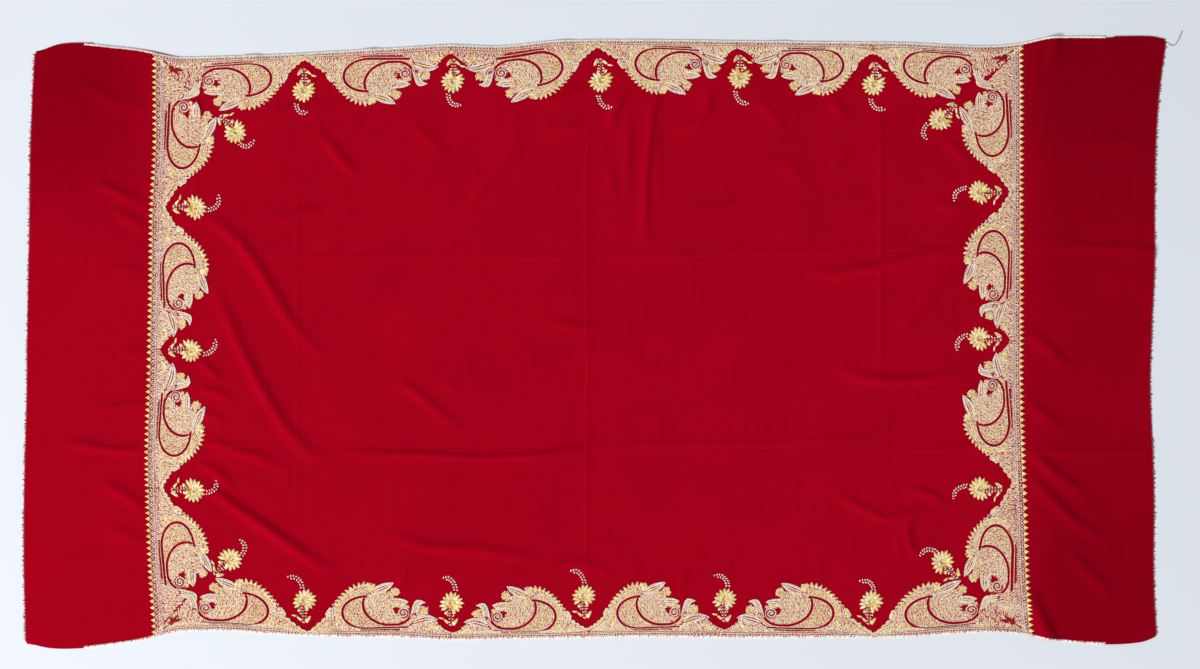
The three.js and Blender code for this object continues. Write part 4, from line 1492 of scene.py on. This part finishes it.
    def _back(self) -> None:
        """Sews the flowered back of the paisley, its outer drops and the dots between them."""
        gold = {Tone.GOLD: 0.45, Tone.PALE_GOLD: 0.55}
        for away, tones in ((3.6, Tone.IVORY), (12.6, PALE)):
            self.stitches.chain(beside(self.loop, away)[9:28], (3.2, 1.7, 0.9), tones, 0.85)
        at, _ = evenly(beside(self.loop, 8.2)[9:29], 7.6)
        self.stitches.flower(at, 3.3)
        at, heading = evenly(self.back[2:], 8.6)
        for place, way in zip(at, leftward(heading)):
            self.stitches.satin(place - way * 4.6, place + way * 3.4, 5.2, gold, 4)
        at, heading = evenly(self.back[2:-1], 8.6, 0.02)
        white = {Tone.WHITE: 0.7, Tone.LILAC_WHITE: 0.3}
        for lean, reach in ((-0.6, 1.9), (0.0, 3.4), (0.6, 1.9)):
            angle = heading + math.pi / 2 + lean
            self.stitches.add(
                at + toward(angle) * reach, angle, (2.9, 1.8, 1.0), white, above=0.15, loose=0.25
            )
        route = self.bumps(self.flank, 4, 3.2)
        self.stitches.chain(route, (2.6, 1.9, 1.0), {Tone.IVORY: 0.6, Tone.WHITE: 0.4}, 0.85)
        for away, size, tones in (
            (-4.6, (3.0, 1.3, 0.8), {Tone.RUST: 0.7, Tone.WINE: 0.3}),
            (-7.0, (3.2, 1.8, 0.9), {Tone.IVORY: 0.7, Tone.CREAM: 0.3}),
        ):
            self.stitches.chain(beside(self.flank, away), size, tones, 0.95)
        at, heading = evenly(self.flank, self._run(self.flank) / 4)
        self.stitches.flower(at - leftward(heading) * 0.4, 3.4)
        self.stitches.flower(at - leftward(heading) * 12.0, 2.8)

    def _lines(self) -> None:
        """Outlines the bare lines with fine pale stitches and sews the white scroll."""
        tones = {Tone.IVORY: 0.55, Tone.CREAM: 0.30, Tone.PALE_GOLD: 0.15}
        for route, other in ((self.loop, self.arch[:-2]), (self.arch[:-2], self.loop)):
            line, second = stroke(refined(other)[:-1], self.line, self.line), stroke(self.second, 1.6, 2.2)
            for away in (self.off, -self.off):
                at, heading = evenly(beside(route, away), 2.6)
                free = ~(inside(line, at) | inside(second, at))
                self.stitches.add(at[free], heading[free], (3.2, 1.4, 0.85), tones, above=0.85, loose=0.12)
        dark = {Tone.WINE: 0.35, Tone.RUST: 0.65}
        angle, radius = np.radians(np.linspace(30, 590, 56)), np.linspace(10.6, 2.4, 56)
        turning = np.column_stack([np.cos(angle), 0.95 * np.sin(angle)])
        spiral = np.array(self.curl) + turning * radius[:, None]
        self.stitches.chain(spiral, (2.6, 2.2, 0.9), {Tone.WHITE: 0.4, Tone.IVORY: 0.6}, 1.0)
        self.stitches.chain(beside(spiral, 2.1)[:-8], (2.8, 1.1, 0.8), dark, 1.0)
        self.stitches.flower(np.array([self.curl]), 2.4, 5, Tone.GOLD)

    def _band(self) -> None:
        """Sews the rows that follow the border's edge."""
        dark = {Tone.WINE: 0.6, Tone.RUST: 0.4}
        # depth, stitch, colours, pitch and where the first stitch is
        long_rows = (
            (0.9, (3.6, 1.4, 0.8), PALE, 3.9, 0.5),
            (2.5, (2.5, 2.4, 1.0), dark, 5.5, 0.5),
            (2.5, (2.8, 2.5, 1.0), GOLDEN, 5.5, 0.0),
            (4.9, (3.4, 1.9, 0.8), PALE, 3.4, 0.5),
            (6.7, (3.6, 0.9, 0.7), {Tone.ROSE: 0.6, Tone.RUST: 0.4}, 3.7, 0.5),
            (8.5, (3.2, 1.6, 0.8), {Tone.CREAM: 0.5, Tone.PALE_GOLD: 0.5}, 3.5, 0.5),
        )
        end_rows = (
            (0.4, (2.2, 1.9, 0.9), {Tone.RUST: 0.3, Tone.GOLD: 0.7}, 5.3, 0.5),
            (2.7, (3.5, 2.3, 0.9), PALE, 4.0, 0.5),
            (4.9, (2.2, 1.5, 0.8), {Tone.PALE_GOLD: 0.7, Tone.RUST: 0.1, Tone.ROSE: 0.2}, 4.3, 0.0),
            (7.0, (3.0, 1.9, 0.8), {Tone.IVORY: 0.7, Tone.CREAM: 0.3}, 3.7, 0.5),
            (8.9, (2.6, 1.4, 0.8), {Tone.CREAM: 0.7, Tone.ROSE: 0.3}, 4.0, 0.0),
        )
        low, high = (-0.9 if self.is_end else 0.7), 9.9
        lost = self.depth * self.corner
        zone = np.array([
            [0.4, low], [self.full - 0.6 - max(low, 0.4) * lost, low],
            [self.full - 0.6 - high * lost, high], [0.4, high],
        ])
        inner = {Tone.CREAM: 0.40, Tone.IVORY: 0.44, Tone.LILAC_WHITE: 0.12, Tone.ROSE: 0.04}
        outer = {Tone.CREAM: 0.30, Tone.IVORY: 0.25, Tone.ROSE: 0.25, Tone.RUST: 0.20}
        if self.is_end:
            outer = {Tone.CREAM: 0.40, Tone.IVORY: 0.46, Tone.ROSE: 0.10, Tone.RUST: 0.04}
        second = stroke(self.second, 4.6, 5.2)
        for under, base, pitch, start, end in (
            (0.55, inner, (3.5, 1.7), -9, 0.7),
            (0.0, outer, (4.7, 2.3), 0.7, 20),
        ):
            avoid = [rectangle(-9, start, 400, end), second]
            self.stitches.fill(
                zone, lambda at: np.zeros(len(at)), (4.2, 2.1, 0.65), base, pitch, avoid, under, 0.4
            )
        for depth, size, tones, pitch, start in end_rows if self.is_end else long_rows:
            last = self.full - depth * self.depth * self.corner
            route = np.array([[0.6, depth], [last - 0.6, depth]])
            at, heading = evenly(route, pitch / self.squeeze, start)
            self.stitches.add(at, heading, size, tones, above=0.95, loose=0.12)
        if self.is_end:
            self._trim()

    def _trim(self) -> None:
        """Sews the bud row and the zigzag outside an end border."""
        count = round(self.full * self.squeeze / self.bud_pitch)
        s = (np.arange(count) + 0.5) * self.full / count
        half = self.full / count / 2
        deep = -self.trim / self.end_depth
        for place in s:
            self.stitches.satin((place, -4.2), (place, deep - 0.8), 7.1, GOLDEN, 5, 0.0, 0.6, low=0.16)
        slant = math.atan2(4.6, half)
        for lean in (1, -1):
            at = np.column_stack([s + lean * half * 0.5, np.full(count, -2.7)])
            self.stitches.add(at, -lean * slant, (5.2, 1.9, 0.9), Tone.WHITE, Cut.SATIN, 0.35, 0.1)
        for out, size, tones, above, loose in (
            (-5.8, (2.8, 2.4, 1.0), Tone.WHITE, 0.5, 0.15),
            (-1.0, (2.4, 1.8, 0.9), {Tone.IVORY: 0.6, Tone.PALE_GOLD: 0.4}, 0.4, 0.2),
        ):
            at = np.column_stack([s + half, np.full(count, out)])
            self.stitches.add(at, math.pi / 2, size, tones, above=above, loose=loose)

    def _clusters(self) -> None:
        """Sews the buds and flower heads at the cell's tips."""
        gold = {Tone.GOLD: 0.35, Tone.PALE_GOLD: 0.65}
        for base, tip, width, threads, point in (
            ((119.5, 88), (116.0, 105), 7.4, 5, 0.3),
            ((121, 88), (124, 103.5), 6.4, 4, 0.3),
            ((43.5, 42.5), (42, 54), 9.0, 5, 0.6),
        ):
            self.stitches.satin(base, tip, width, gold, threads, 0.0, point)
        rim = np.array([[36, 44], [38.2, 48.5], [40.8, 52.7], [43.8, 56.5], [48, 54], [50, 49]])
        self.stitches.chain(rim, (2.6, 1.9, 1.0), Tone.WHITE, 0.9)
        self.stitches.chain(np.array([[36.5, 42], [49.5, 41]]), (2.6, 1.7, 1.0), Tone.WHITE, 1.0)
        self.stitches.satin((56, 20), (62, 34), 5.0, gold, 4)
        heads = [(160, 84), (165.5, 91.5), (159, 92), (167, 85), (180, 66), (186, 60)]
        if self.corner and not self.is_end:
            end = self.full
            for base, tip, width in (
                ((end - 19, 8), (end - 34, 22), 4.0), ((end - 30, 17), (end - 50, 40), 8.0),
                ((end - 37, 24), (end - 57, 28), 6.6), ((end - 34, 21), (end - 35, 36), 5.6),
            ):
                self.stitches.satin(base, tip, width, Tone.CRIMSON, 5, 0.0, 0.5, 1.2)
        if not self.corner:
            heads += [(213, 53), (219, 57.5), (220, 51), (214, 59)]
            for angle in np.radians(np.arange(25, 170, 24)):
                way = np.array([math.cos(angle), math.sin(angle)])
                base = np.array([233.0, 17.5])
                self.stitches.satin(base + way * 4.5, base + way * 11.5, 3.6, gold, 2)
                self.stitches.add((base + way * 13.3)[None], angle, (2.8, 2.0, 1.0), Tone.WHITE, above=0.9)
            edge = np.array([[246, 24.5], [252, 18.5], [258, 14.5], [262, 11.5]], float)
            self.stitches.chain(edge, (2.6, 2.0, 1.0), {Tone.WHITE: 0.5, Tone.GOLD: 0.5}, 0.9)
        self.stitches.flower(np.array(heads, float), 3.6)


@dataclass
class Border:
    """One embroidered border: its paisley cells between their meeting places."""

    shop: Workshop
    side: Side
    meets: tuple[float, ...]
    shifts: tuple[tuple[float, float, float], ...]
    corner_slack: float = 12.0
    pitch: float = 263.0
    # heights of the backing above the wool
    backing: tuple[float, float] = (SINK, 0.75)
    # where a cell's straying along the border ends and over what length: plain cells, then corner cells
    fades: tuple = ((263.0, 50.0), (245.0, 40.0))
    # how far a long border's paisleys lie outward, and how much more for each millimetre inward
    outward: tuple[float, float] = (1.8, 0.08)
    # how far the inner side of an end border's corner cells lies inward
    corner_sink: float = 6.5

    def build(self) -> list[bpy.types.Object]:
        """Builds the border's cells."""
        return [self._cell(i) for i in range(len(self.meets) - 1)]

    def _cell(self, index: int) -> bpy.types.Object:
        """Builds one cell and lets it stand for its node."""
        near, far = self.meets[index : index + 2]
        back, scroll = (near, far) if index % 2 == 1 else (far, near)
        corner = index in (0, len(self.meets) - 2)
        run = scroll - back
        squeeze = (abs(run) - (self.corner_slack if corner else 0.0)) / self.pitch
        direction = math.copysign(squeeze, run)
        label = f"{self.side.value}_{index + 1}"
        seed = 100 * list(Side).index(self.side) + index + 1
        along, deep, dip = self.shifts[index]
        last, fade = self.fades[corner]
        drawing = Paisley(corner, self.side.is_end, abs(run) / squeeze, squeeze, seed)

        def place(at: Points) -> Points:
            """Maps the cell's drawing to the plan, with this cell's own unevenness."""
            s, t = at[:, 0], at[:, 1]
            grown = share_of(s, 0, 60) * share_of(s, last, -fade)
            step = along * grown * grown * (3 - 2 * grown)
            sink = deep - (0.0 if self.side.is_end else self.outward[0] + self.outward[1] * t)
            notch = dip * (1 - share_of(s, 0, 50)) * share_of(t, 3, 6)
            depth = t + sink * share_of(t, 7, 14) + notch
            if corner and self.side.is_end:
                depth = depth + self.corner_sink * share_of(s, 100, 40) * share_of(t, 52, 28)
            return self.shop.plan.on_border(self.side, back + direction * (s + step), depth)

        outline = place(refined(drawing.outline()))
        holes = [place(refined(hole)) for hole in drawing.gaps()]
        ground = self.shop.plate(f"ground_{label}", outline, holes, *self.backing, Tone.GROUND)
        return self.shop.embroider(
            f"paisley_{label}", f"border_{label}", "needlework", ground, drawing.draw(), place, seed
        )


# ------------------------------------------------------------------------------------------- sprigs
@dataclass
class Sprig:
    """One gold flower with its stem, two leaves and a feathered tail."""

    shop: Workshop
    name: str
    x: float
    y: float
    turn: float
    tail: tuple[float, float, float, float]
    # each outer petal's tip, from the rosette's middle, and its width
    petals: tuple = (
        (-7.2, 21.0, 7.0), (-15.4, 16.2, 6.4), (-20.9, 8.6, 6.4), (-24.0, 0.2, 6.8), (-22.0, -8.6, 6.0),
        (-16.0, -15.8, 6.6), (-8.6, -20.8, 6.2), (0.4, -22.0, 6.8), (9.4, -18.6, 6.4), (17.0, -11.8, 6.4),
        (21.4, -2.8, 6.4), (23.2, 6.2, 6.2), (19.6, 14.6, 6.4),
    )
    # heights of the backing above the wool, and how far apart its inner points are
    backing: tuple[float, float] = (SINK, 0.35)
    spacing: float = 9.0

    def place(self, at: Points) -> Points:
        """Maps the sprig's drawing, whose stem points along +y, to the plan."""
        c, s = math.cos(math.radians(self.turn)), math.sin(math.radians(self.turn))
        return np.column_stack([self.x + at[:, 0] * c - at[:, 1] * s, self.y + at[:, 0] * s + at[:, 1] * c])

    def draw(self, seed: int) -> Stitches:
        """Draws every stitch of the sprig."""
        work = Stitches(seed)
        gold = {Tone.PALE_GOLD: 0.66, Tone.GOLD: 0.24, Tone.IVORY: 0.10}
        pale = {Tone.IVORY: 0.22, Tone.PALE_GOLD: 0.63, Tone.GOLD: 0.15}
        for tip_p, tip_q, width in self.petals:
            far = np.array([tip_p, tip_q]) * work.random.uniform(0.93, 1.04)
            work.satin(far * 0.24, far, width * 1.02, gold, 4, 0.0, 0.34)
            crease = (far + np.array([-far[1], far[0]]) * 0.23)[None] * 0.70
            work.add(crease, math.atan2(far[1], far[0]), (7.0, 1.1, 0.9), Tone.RUST, above=1.25)
        for angle in (-2.7, -2.0, -1.25, -0.5, 0.2, 2.9):
            way = np.array([math.cos(angle), math.sin(angle)])
            work.satin(way * 1.0, way * 11.5, 5.0, pale, 3, 0.0, 0.4, 1.0)
            work.add((way * 12.5)[None], angle, (4.4, 1.3, 0.9), Tone.RUST, above=1.5)
            work.add((way * 4.0)[None], angle + 0.5, (4.4, 1.2, 0.9), Tone.RUST, above=1.65)
        heart, dark = np.array([[1.5, 5.0], [1.0, 9.5]]), {Tone.RUST: 0.5, Tone.WINE: 0.5}
        work.add(heart, 1.5, (4.0, 2.0, 1.0), dark, above=1.6)
        stem = np.array([[0.8, 11.0], [1.2, 24.0], [0.6, 37.0]])
        work.chain(stem, (3.0, 1.1, 0.9), {Tone.RUST: 0.6, Tone.GOLD: 0.4}, 0.5)
        white = {Tone.WHITE: 0.8, Tone.LILAC_WHITE: 0.2}
        for away, points, start in ((-5.4, 2, 0.7), (-2.8, 3, 0.3), (2.8, 3, 0.3), (5.2, 2, 0.7)):
            at, heading = evenly(beside(stem, away)[:points], 4.8, start)
            work.add(at, heading + 0.6, (3.0, 2.5, 1.3), white, Cut.SATIN, 0.35, 0.4)
        work.add(np.array([[3.0, 38.5], [0.6, 39.5]]), 1.2, (3.2, 2.4, 1.1), white, Cut.SATIN, 0.2)
        work.satin((-1.0, 40.0), (-11.5, 26.0), 6.4, gold, 5, -0.9)
        work.add(np.array([[-6.4, 32.6]]), 0.93, (9.0, 1.1, 0.9), Tone.RUST, above=1.35)
        for base, tip, width, threads, bow in (
            ((3.5, 36), (14.0, 27.5), 4.4, 4, 0.9),
            ((12.5, 28.6), (24.0, 26.5), 3.2, 3, -0.5),
            ((6.5, 15.5), (12.5, 20.0), 5.4, 4, 0.0),
        ):
            work.satin(base, tip, width, gold, threads, bow)
        p0, q0, p3, q3 = self.tail
        tail = bezier((p0, q0), (p0 + 1, q0 - 14), (p3 - 13, q3 - 11), (p3, q3), 18)
        work.chain(tail[:-3], (2.2, 0.7, 0.5), {Tone.RUST: 0.7, Tone.CRIMSON: 0.3}, 0.2)
        for away, end, start, lean in ((-2.5, None, 0.2, 0.9), (2.5, -2, 0.5, -0.9)):
            at, heading = evenly(beside(tail, away)[:end], 4.9, start)
            work.add(at, heading + lean, (4.4, 2.4, 1.4), white, Cut.SATIN, 0.35, 0.25)
        return work

    def build(self, seed: int) -> bpy.types.Object:
        """Builds the sprig and lets it stand for its node."""
        angle = np.linspace(0, 2 * math.pi, 27)[:-1]
        radius = np.where(np.arange(26) % 2, 11.5, 9.0)
        disc = self.place(np.column_stack([radius * np.cos(angle), radius * np.sin(angle) * 0.94]))
        ground = self.shop.plate(f"ground_{self.name}", disc, (), *self.backing, Tone.GOLD, self.spacing)
        return self.shop.embroider(
            f"flower_{self.name}", f"sprig_{self.name}", "goldwork", ground, self.draw(seed), self.place, seed
        )


# ------------------------------------------------------------------------------------------- edges
@dataclass
class WhipStitching:
    """Cream and pink stitches over one long raw edge."""

    shop: Workshop
    side: Side
    pitch: float = 2.2
    # the roll under the stitches: how far it ends before them, its step, its clearance and its height
    margin: float = 3.0
    step: float = 9.0
    clearance: float = 0.05
    height: float = 1.5

    def build(self, seed: int) -> bpy.types.Object:
        """Builds the edging and lets it stand for its node."""
        plan = self.shop.plan
        away = 1.0 if self.side is Side.FAR else -1.0
        x = np.arange(plan.stitched[0] + self.margin, plan.stitched[1] - self.margin, self.step)
        inner = np.column_stack([x, plan.edge(self.side, x) + away * self.clearance])
        outer = inner + np.array([0.0, away * (plan.stitch_width - 0.5)])
        roll = self.shop.bar(f"roll_{self.side.value}", inner, outer, 0.0, self.height, Tone.IVORY)
        work = Stitches(seed)
        at, heading = evenly((inner + outer) / 2, self.pitch)
        tones = {Tone.IVORY: 0.30, Tone.WHITE: 0.65, Tone.LILAC_WHITE: 0.05}
        # painted shade: the near edge's stitches take less white and more lilac and rose than the far edge's,
        # darker colour standing in for less light where the key light falls full on this edge
        if self.side is Side.NEAR:
            tones = {Tone.IVORY: 0.28, Tone.WHITE: 0.14, Tone.LILAC_WHITE: 0.32, Tone.ROSE: 0.26}
        work.add(at, heading + 1.15, (5.0, 2.1, 0.9), tones, Cut.SATIN, 0.0, 0.2)
        name, node = f"whip_stitches_{self.side.value}", f"edging_{self.side.value}"
        return self.shop.embroider(name, node, "whip_stitch", roll, work, lambda at: at, seed)


@dataclass
class FrayedEnd:
    """A torn short end with its very short yarn ends."""

    shop: Workshop
    side: Side
    yarns: int = 576
    width: float = 1064.0
    # lengths of the yarn ends, in equal shares
    lengths: tuple[float, ...] = (1.6, 2.2, 2.6, 3.0, 3.8, 5.4)
    # the strip under the yarns: how many points it has along the edge, its depth, its start and its height
    steps: int = 90
    depth: float = 1.9
    bottom: float = 0.25
    height: float = 1.1

    def build(self, seed: int) -> bpy.types.Object:
        """Builds the frayed end and lets it stand for its node."""
        plan = self.shop.plan
        away = -1.0 if self.side is Side.LEFT else 1.0
        v = np.linspace(0.004, 0.996, self.steps)
        root = plan.sheet(np.full(self.steps, 0.0 if away < 0 else 1.0), v)
        outer = root + np.array([away * self.depth, 0.0])
        name = f"strip_{self.side.value}"
        strip = self.shop.bar(name, root, outer, self.bottom, self.height, Tone.CRIMSON)
        work = Stitches(seed)
        base, _ = evenly(outer, self.width / self.yarns)
        base = base + work.random.uniform(-1, 1, base.shape) * np.array([0.0, 1.6])
        order = work.random.permutation(len(base))
        for part, length in zip(np.array_split(order, len(self.lengths)), self.lengths):
            at = base[part] + np.array([away * (length / 2 - 0.9), 0.0])
            lean = work.random.uniform(-0.55, 0.55, len(at)) + (math.pi if away < 0 else 0.0)
            tones = {Tone.CRIMSON: 0.85, Tone.WINE: 0.15}
            work.add(at, lean, (length + 1.0, 1.3, 0.7), tones, Cut.SATIN, -0.85, 0.3)
        if self.side is Side.RIGHT:
            loose = bezier((1026, 536), (1040, 521), (1046, 541), (1053, 557), 14)
            work.chain(loose, (5.6, 1.5, 1.3), {Tone.CRIMSON: 0.6, Tone.ROSE: 0.4}, -0.8)
        name, node = f"frayed_end_{self.side.value}", f"fringe_{self.side.value}"
        return self.shop.embroider(name, node, "wool_fringe", strip, work, lambda at: at, seed)


# ------------------------------------------------------------------------------------------- studio
@dataclass
class Studio:
    """The floor, the soft light and the camera straight above."""

    view_width: float = 2.148
    middle: tuple[float, float] = (0.0094, 0.0141)
    height: float = 3.0
    sensor: float = 36.0
    floor_reach: float = 10.0
    key_place: tuple = (-9.0, -6.5, 6.2)
    key_size: float = 3.4
    key_power: float = 1760.0
    key_tint: tuple = (1.0, 0.975, 0.95)
    sky: tuple = (0.93, 0.96, 1.0, 1.0)
    sky_power: float = 0.48

    def build(self) -> bpy.types.Object:
        """Builds the studio and gives back its floor."""
        mesh = bpy.data.meshes.new("floor")
        reach = self.floor_reach
        corners = [(x, y, 0) for x, y in rectangle(-reach, -reach, reach, reach).tolist()]
        mesh.from_pydata(corners, [], [(0, 1, 2, 3)])
        mesh.materials.append(FloorFinish().material())
        floor = linked("floor", mesh)
        self._light()
        self._camera()
        scene = bpy.context.scene
        scene.view_settings.view_transform = "Standard"
        scene.view_settings.look = "None"
        return floor

    def _light(self) -> None:
        """Sets one broad key from the near left and an even sky."""
        lamp = bpy.data.lights.new("key", "AREA")
        lamp.shape = "DISK"
        lamp.size = self.key_size
        lamp.energy = self.key_power
        lamp.color = self.key_tint
        key = linked("key", lamp)
        key.location = self.key_place
        key.rotation_euler = (-Vector(self.key_place)).to_track_quat("-Z", "Y").to_euler()
        world = bpy.data.worlds.new("soft_sky")
        world.use_nodes = True
        background = world.node_tree.nodes["Background"]
        background.inputs["Color"].default_value = self.sky
        background.inputs["Strength"].default_value = self.sky_power
        bpy.context.scene.world = world

    def _camera(self) -> None:
        """Sets the camera straight above the shawl."""
        lens = bpy.data.cameras.new("overhead")
        lens.sensor_width = self.sensor
        lens.lens = self.sensor * self.height / self.view_width
        camera = linked("overhead", lens)
        camera.location = (*self.middle, self.height)
        bpy.context.scene.camera = camera


# ------------------------------------------------------------------------------------------- the shawl
@dataclass
class Shawl:
    """The whole shawl, built piece by piece."""

    plan: ShawlPlan = field(default_factory=ShawlPlan)
    # where the cells meet, and how far each cell's paisley strays along and across and its notch across
    meets: tuple = (
        (Side.FAR, (-791, -516, -256, 3, 256, 499, 770),
         ((-6, -1, -4), (2, 2, -4), (-7, 4, -3), (7, -1, -3), (-10, -2, 5), (-11, -2, 5))),
        (Side.NEAR, (-791, -514, -256, -9, 233, 497, 787),
         ((1, -4, -6), (-2, -1, -10), (-4, -5, 3), (-12, -1, 3), (1, -1, -6), (-10, -4, -7))),
        (Side.LEFT, (-524, -261, -13, 242, 512), ((-3, 0, 6), (-6, -2, 6), (0, -1, 2), (3, 0, 2))),
        (Side.RIGHT, (-522, -252, 2, 269, 530), ((10, 3, -4), (2, 1, -4), (2, -1, -3), (0, 1, -3))),
    )
    # name, x, y, turn, and where its tail starts and ends
    sprigs: tuple = (
        ("far_1", -519, 449, 0, (-13, -22, 8, -34)), ("far_2", -252, 466, 0, (-9, -22, 15, -38)),
        ("far_3", 13, 467, 4, (-7, -25, 17, -44)), ("far_4", 261, 473, 0, (-8, -24, 17, -42)),
        ("far_5", 501, 460, -4, (-4, -25, 24, -38)), ("near_1", -518, -462, 180, (3, -21, 31, -38)),
        ("near_2", -255, -467, 180, (-8, -22, 16, -41)), ("near_3", -18, -454, 184, (-3, -22, 22, -42)),
        ("near_4", 234, -460, 180, (-6, -22, 20, -38)), ("near_5", 495, -465, 176, (-4, -21, 23, -32)),
        ("left_1", -716, -265, 90, (-4, -22, 18, -36)), ("left_2", -721, -15, 90, (-7, -22, 21, -40)),
        ("left_3", -713, 241, 90, (-5, -22, 23, -38)), ("right_1", 690, -263, -90, (-6, -22, 19, -42)),
        ("right_2", 689, 6, -90, (-6, -20, 22, -35)), ("right_3", 689, 268, -90, (-8, -22, 17, -40)),
        ("corner_far_left", -641, 376, 45, (-10, -19, 14, -30)),
        ("corner_far_right", 619, 397, -45, (-11, -20, 9, -36)),
        ("corner_near_left", -650, -388, 135, (-9, -19, 14, -32)),
        ("corner_near_right", 623, -393, -135, (-5, -19, 22, -32)),
    )
    # first seeds of the sprigs, the edgings and the frayed ends
    seeds: tuple[int, int, int] = (900, 950, 960)

    def shift(self) -> Points:
        """Gives what moves the plan to the frame, from the two boxes of the cloth."""
        fine, rough = (side.ravel() for side in np.meshgrid(np.linspace(0, 1, 2001), np.linspace(0, 1, 3)))
        outline = np.concatenate([self.plan.sheet(fine, rough), self.plan.sheet(rough, fine)])
        low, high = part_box("cloth")
        middle = np.array([low[k] + high[k] for k in (0, 1)]) / 2 / MM
        return middle - (outline.min(0) + outline.max(0)) / 2

    def build(self) -> None:
        """Builds every piece and logs the plan's shift and each piece's triangle count."""
        floor = Studio().build()
        tree = StitchTree(ThreadFinish().material())
        shop = Workshop(self.plan, LaidCloth(self.plan), self.shift(), tree)
        log.info("plan shift %s", shop.shift)
        cloth = WoolLength(shop).build()
        trimmings = []
        for side, meets, shifts in self.meets:
            trimmings += Border(shop, side, meets, shifts).build()
            log.info("border %s sewn", side.value)
        sprig_seed, edging_seed, fringe_seed = self.seeds
        for number, (name, x, y, turn, tail) in enumerate(self.sprigs):
            trimmings.append(Sprig(shop, name, x, y, turn, tail).build(sprig_seed + number))
        for number, side in enumerate((Side.FAR, Side.NEAR)):
            trimmings.append(WhipStitching(shop, side).build(edging_seed + number))
        for number, side in enumerate((Side.LEFT, Side.RIGHT)):
            trimmings.append(FrayedEnd(shop, side).build(fringe_seed + number))
        for piece in [cloth, *trimmings]:
            triangles = sum(len(face.vertices) - 2 for face in piece.data.polygons)
            log.info("%s: %d triangles", piece.name, triangles)


def main() -> None:
    """Builds the shawl."""
    logging.basicConfig(level=logging.INFO, format="%(message)s")
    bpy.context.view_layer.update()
    Shawl().build()


if __name__ == "__main__":
    main()
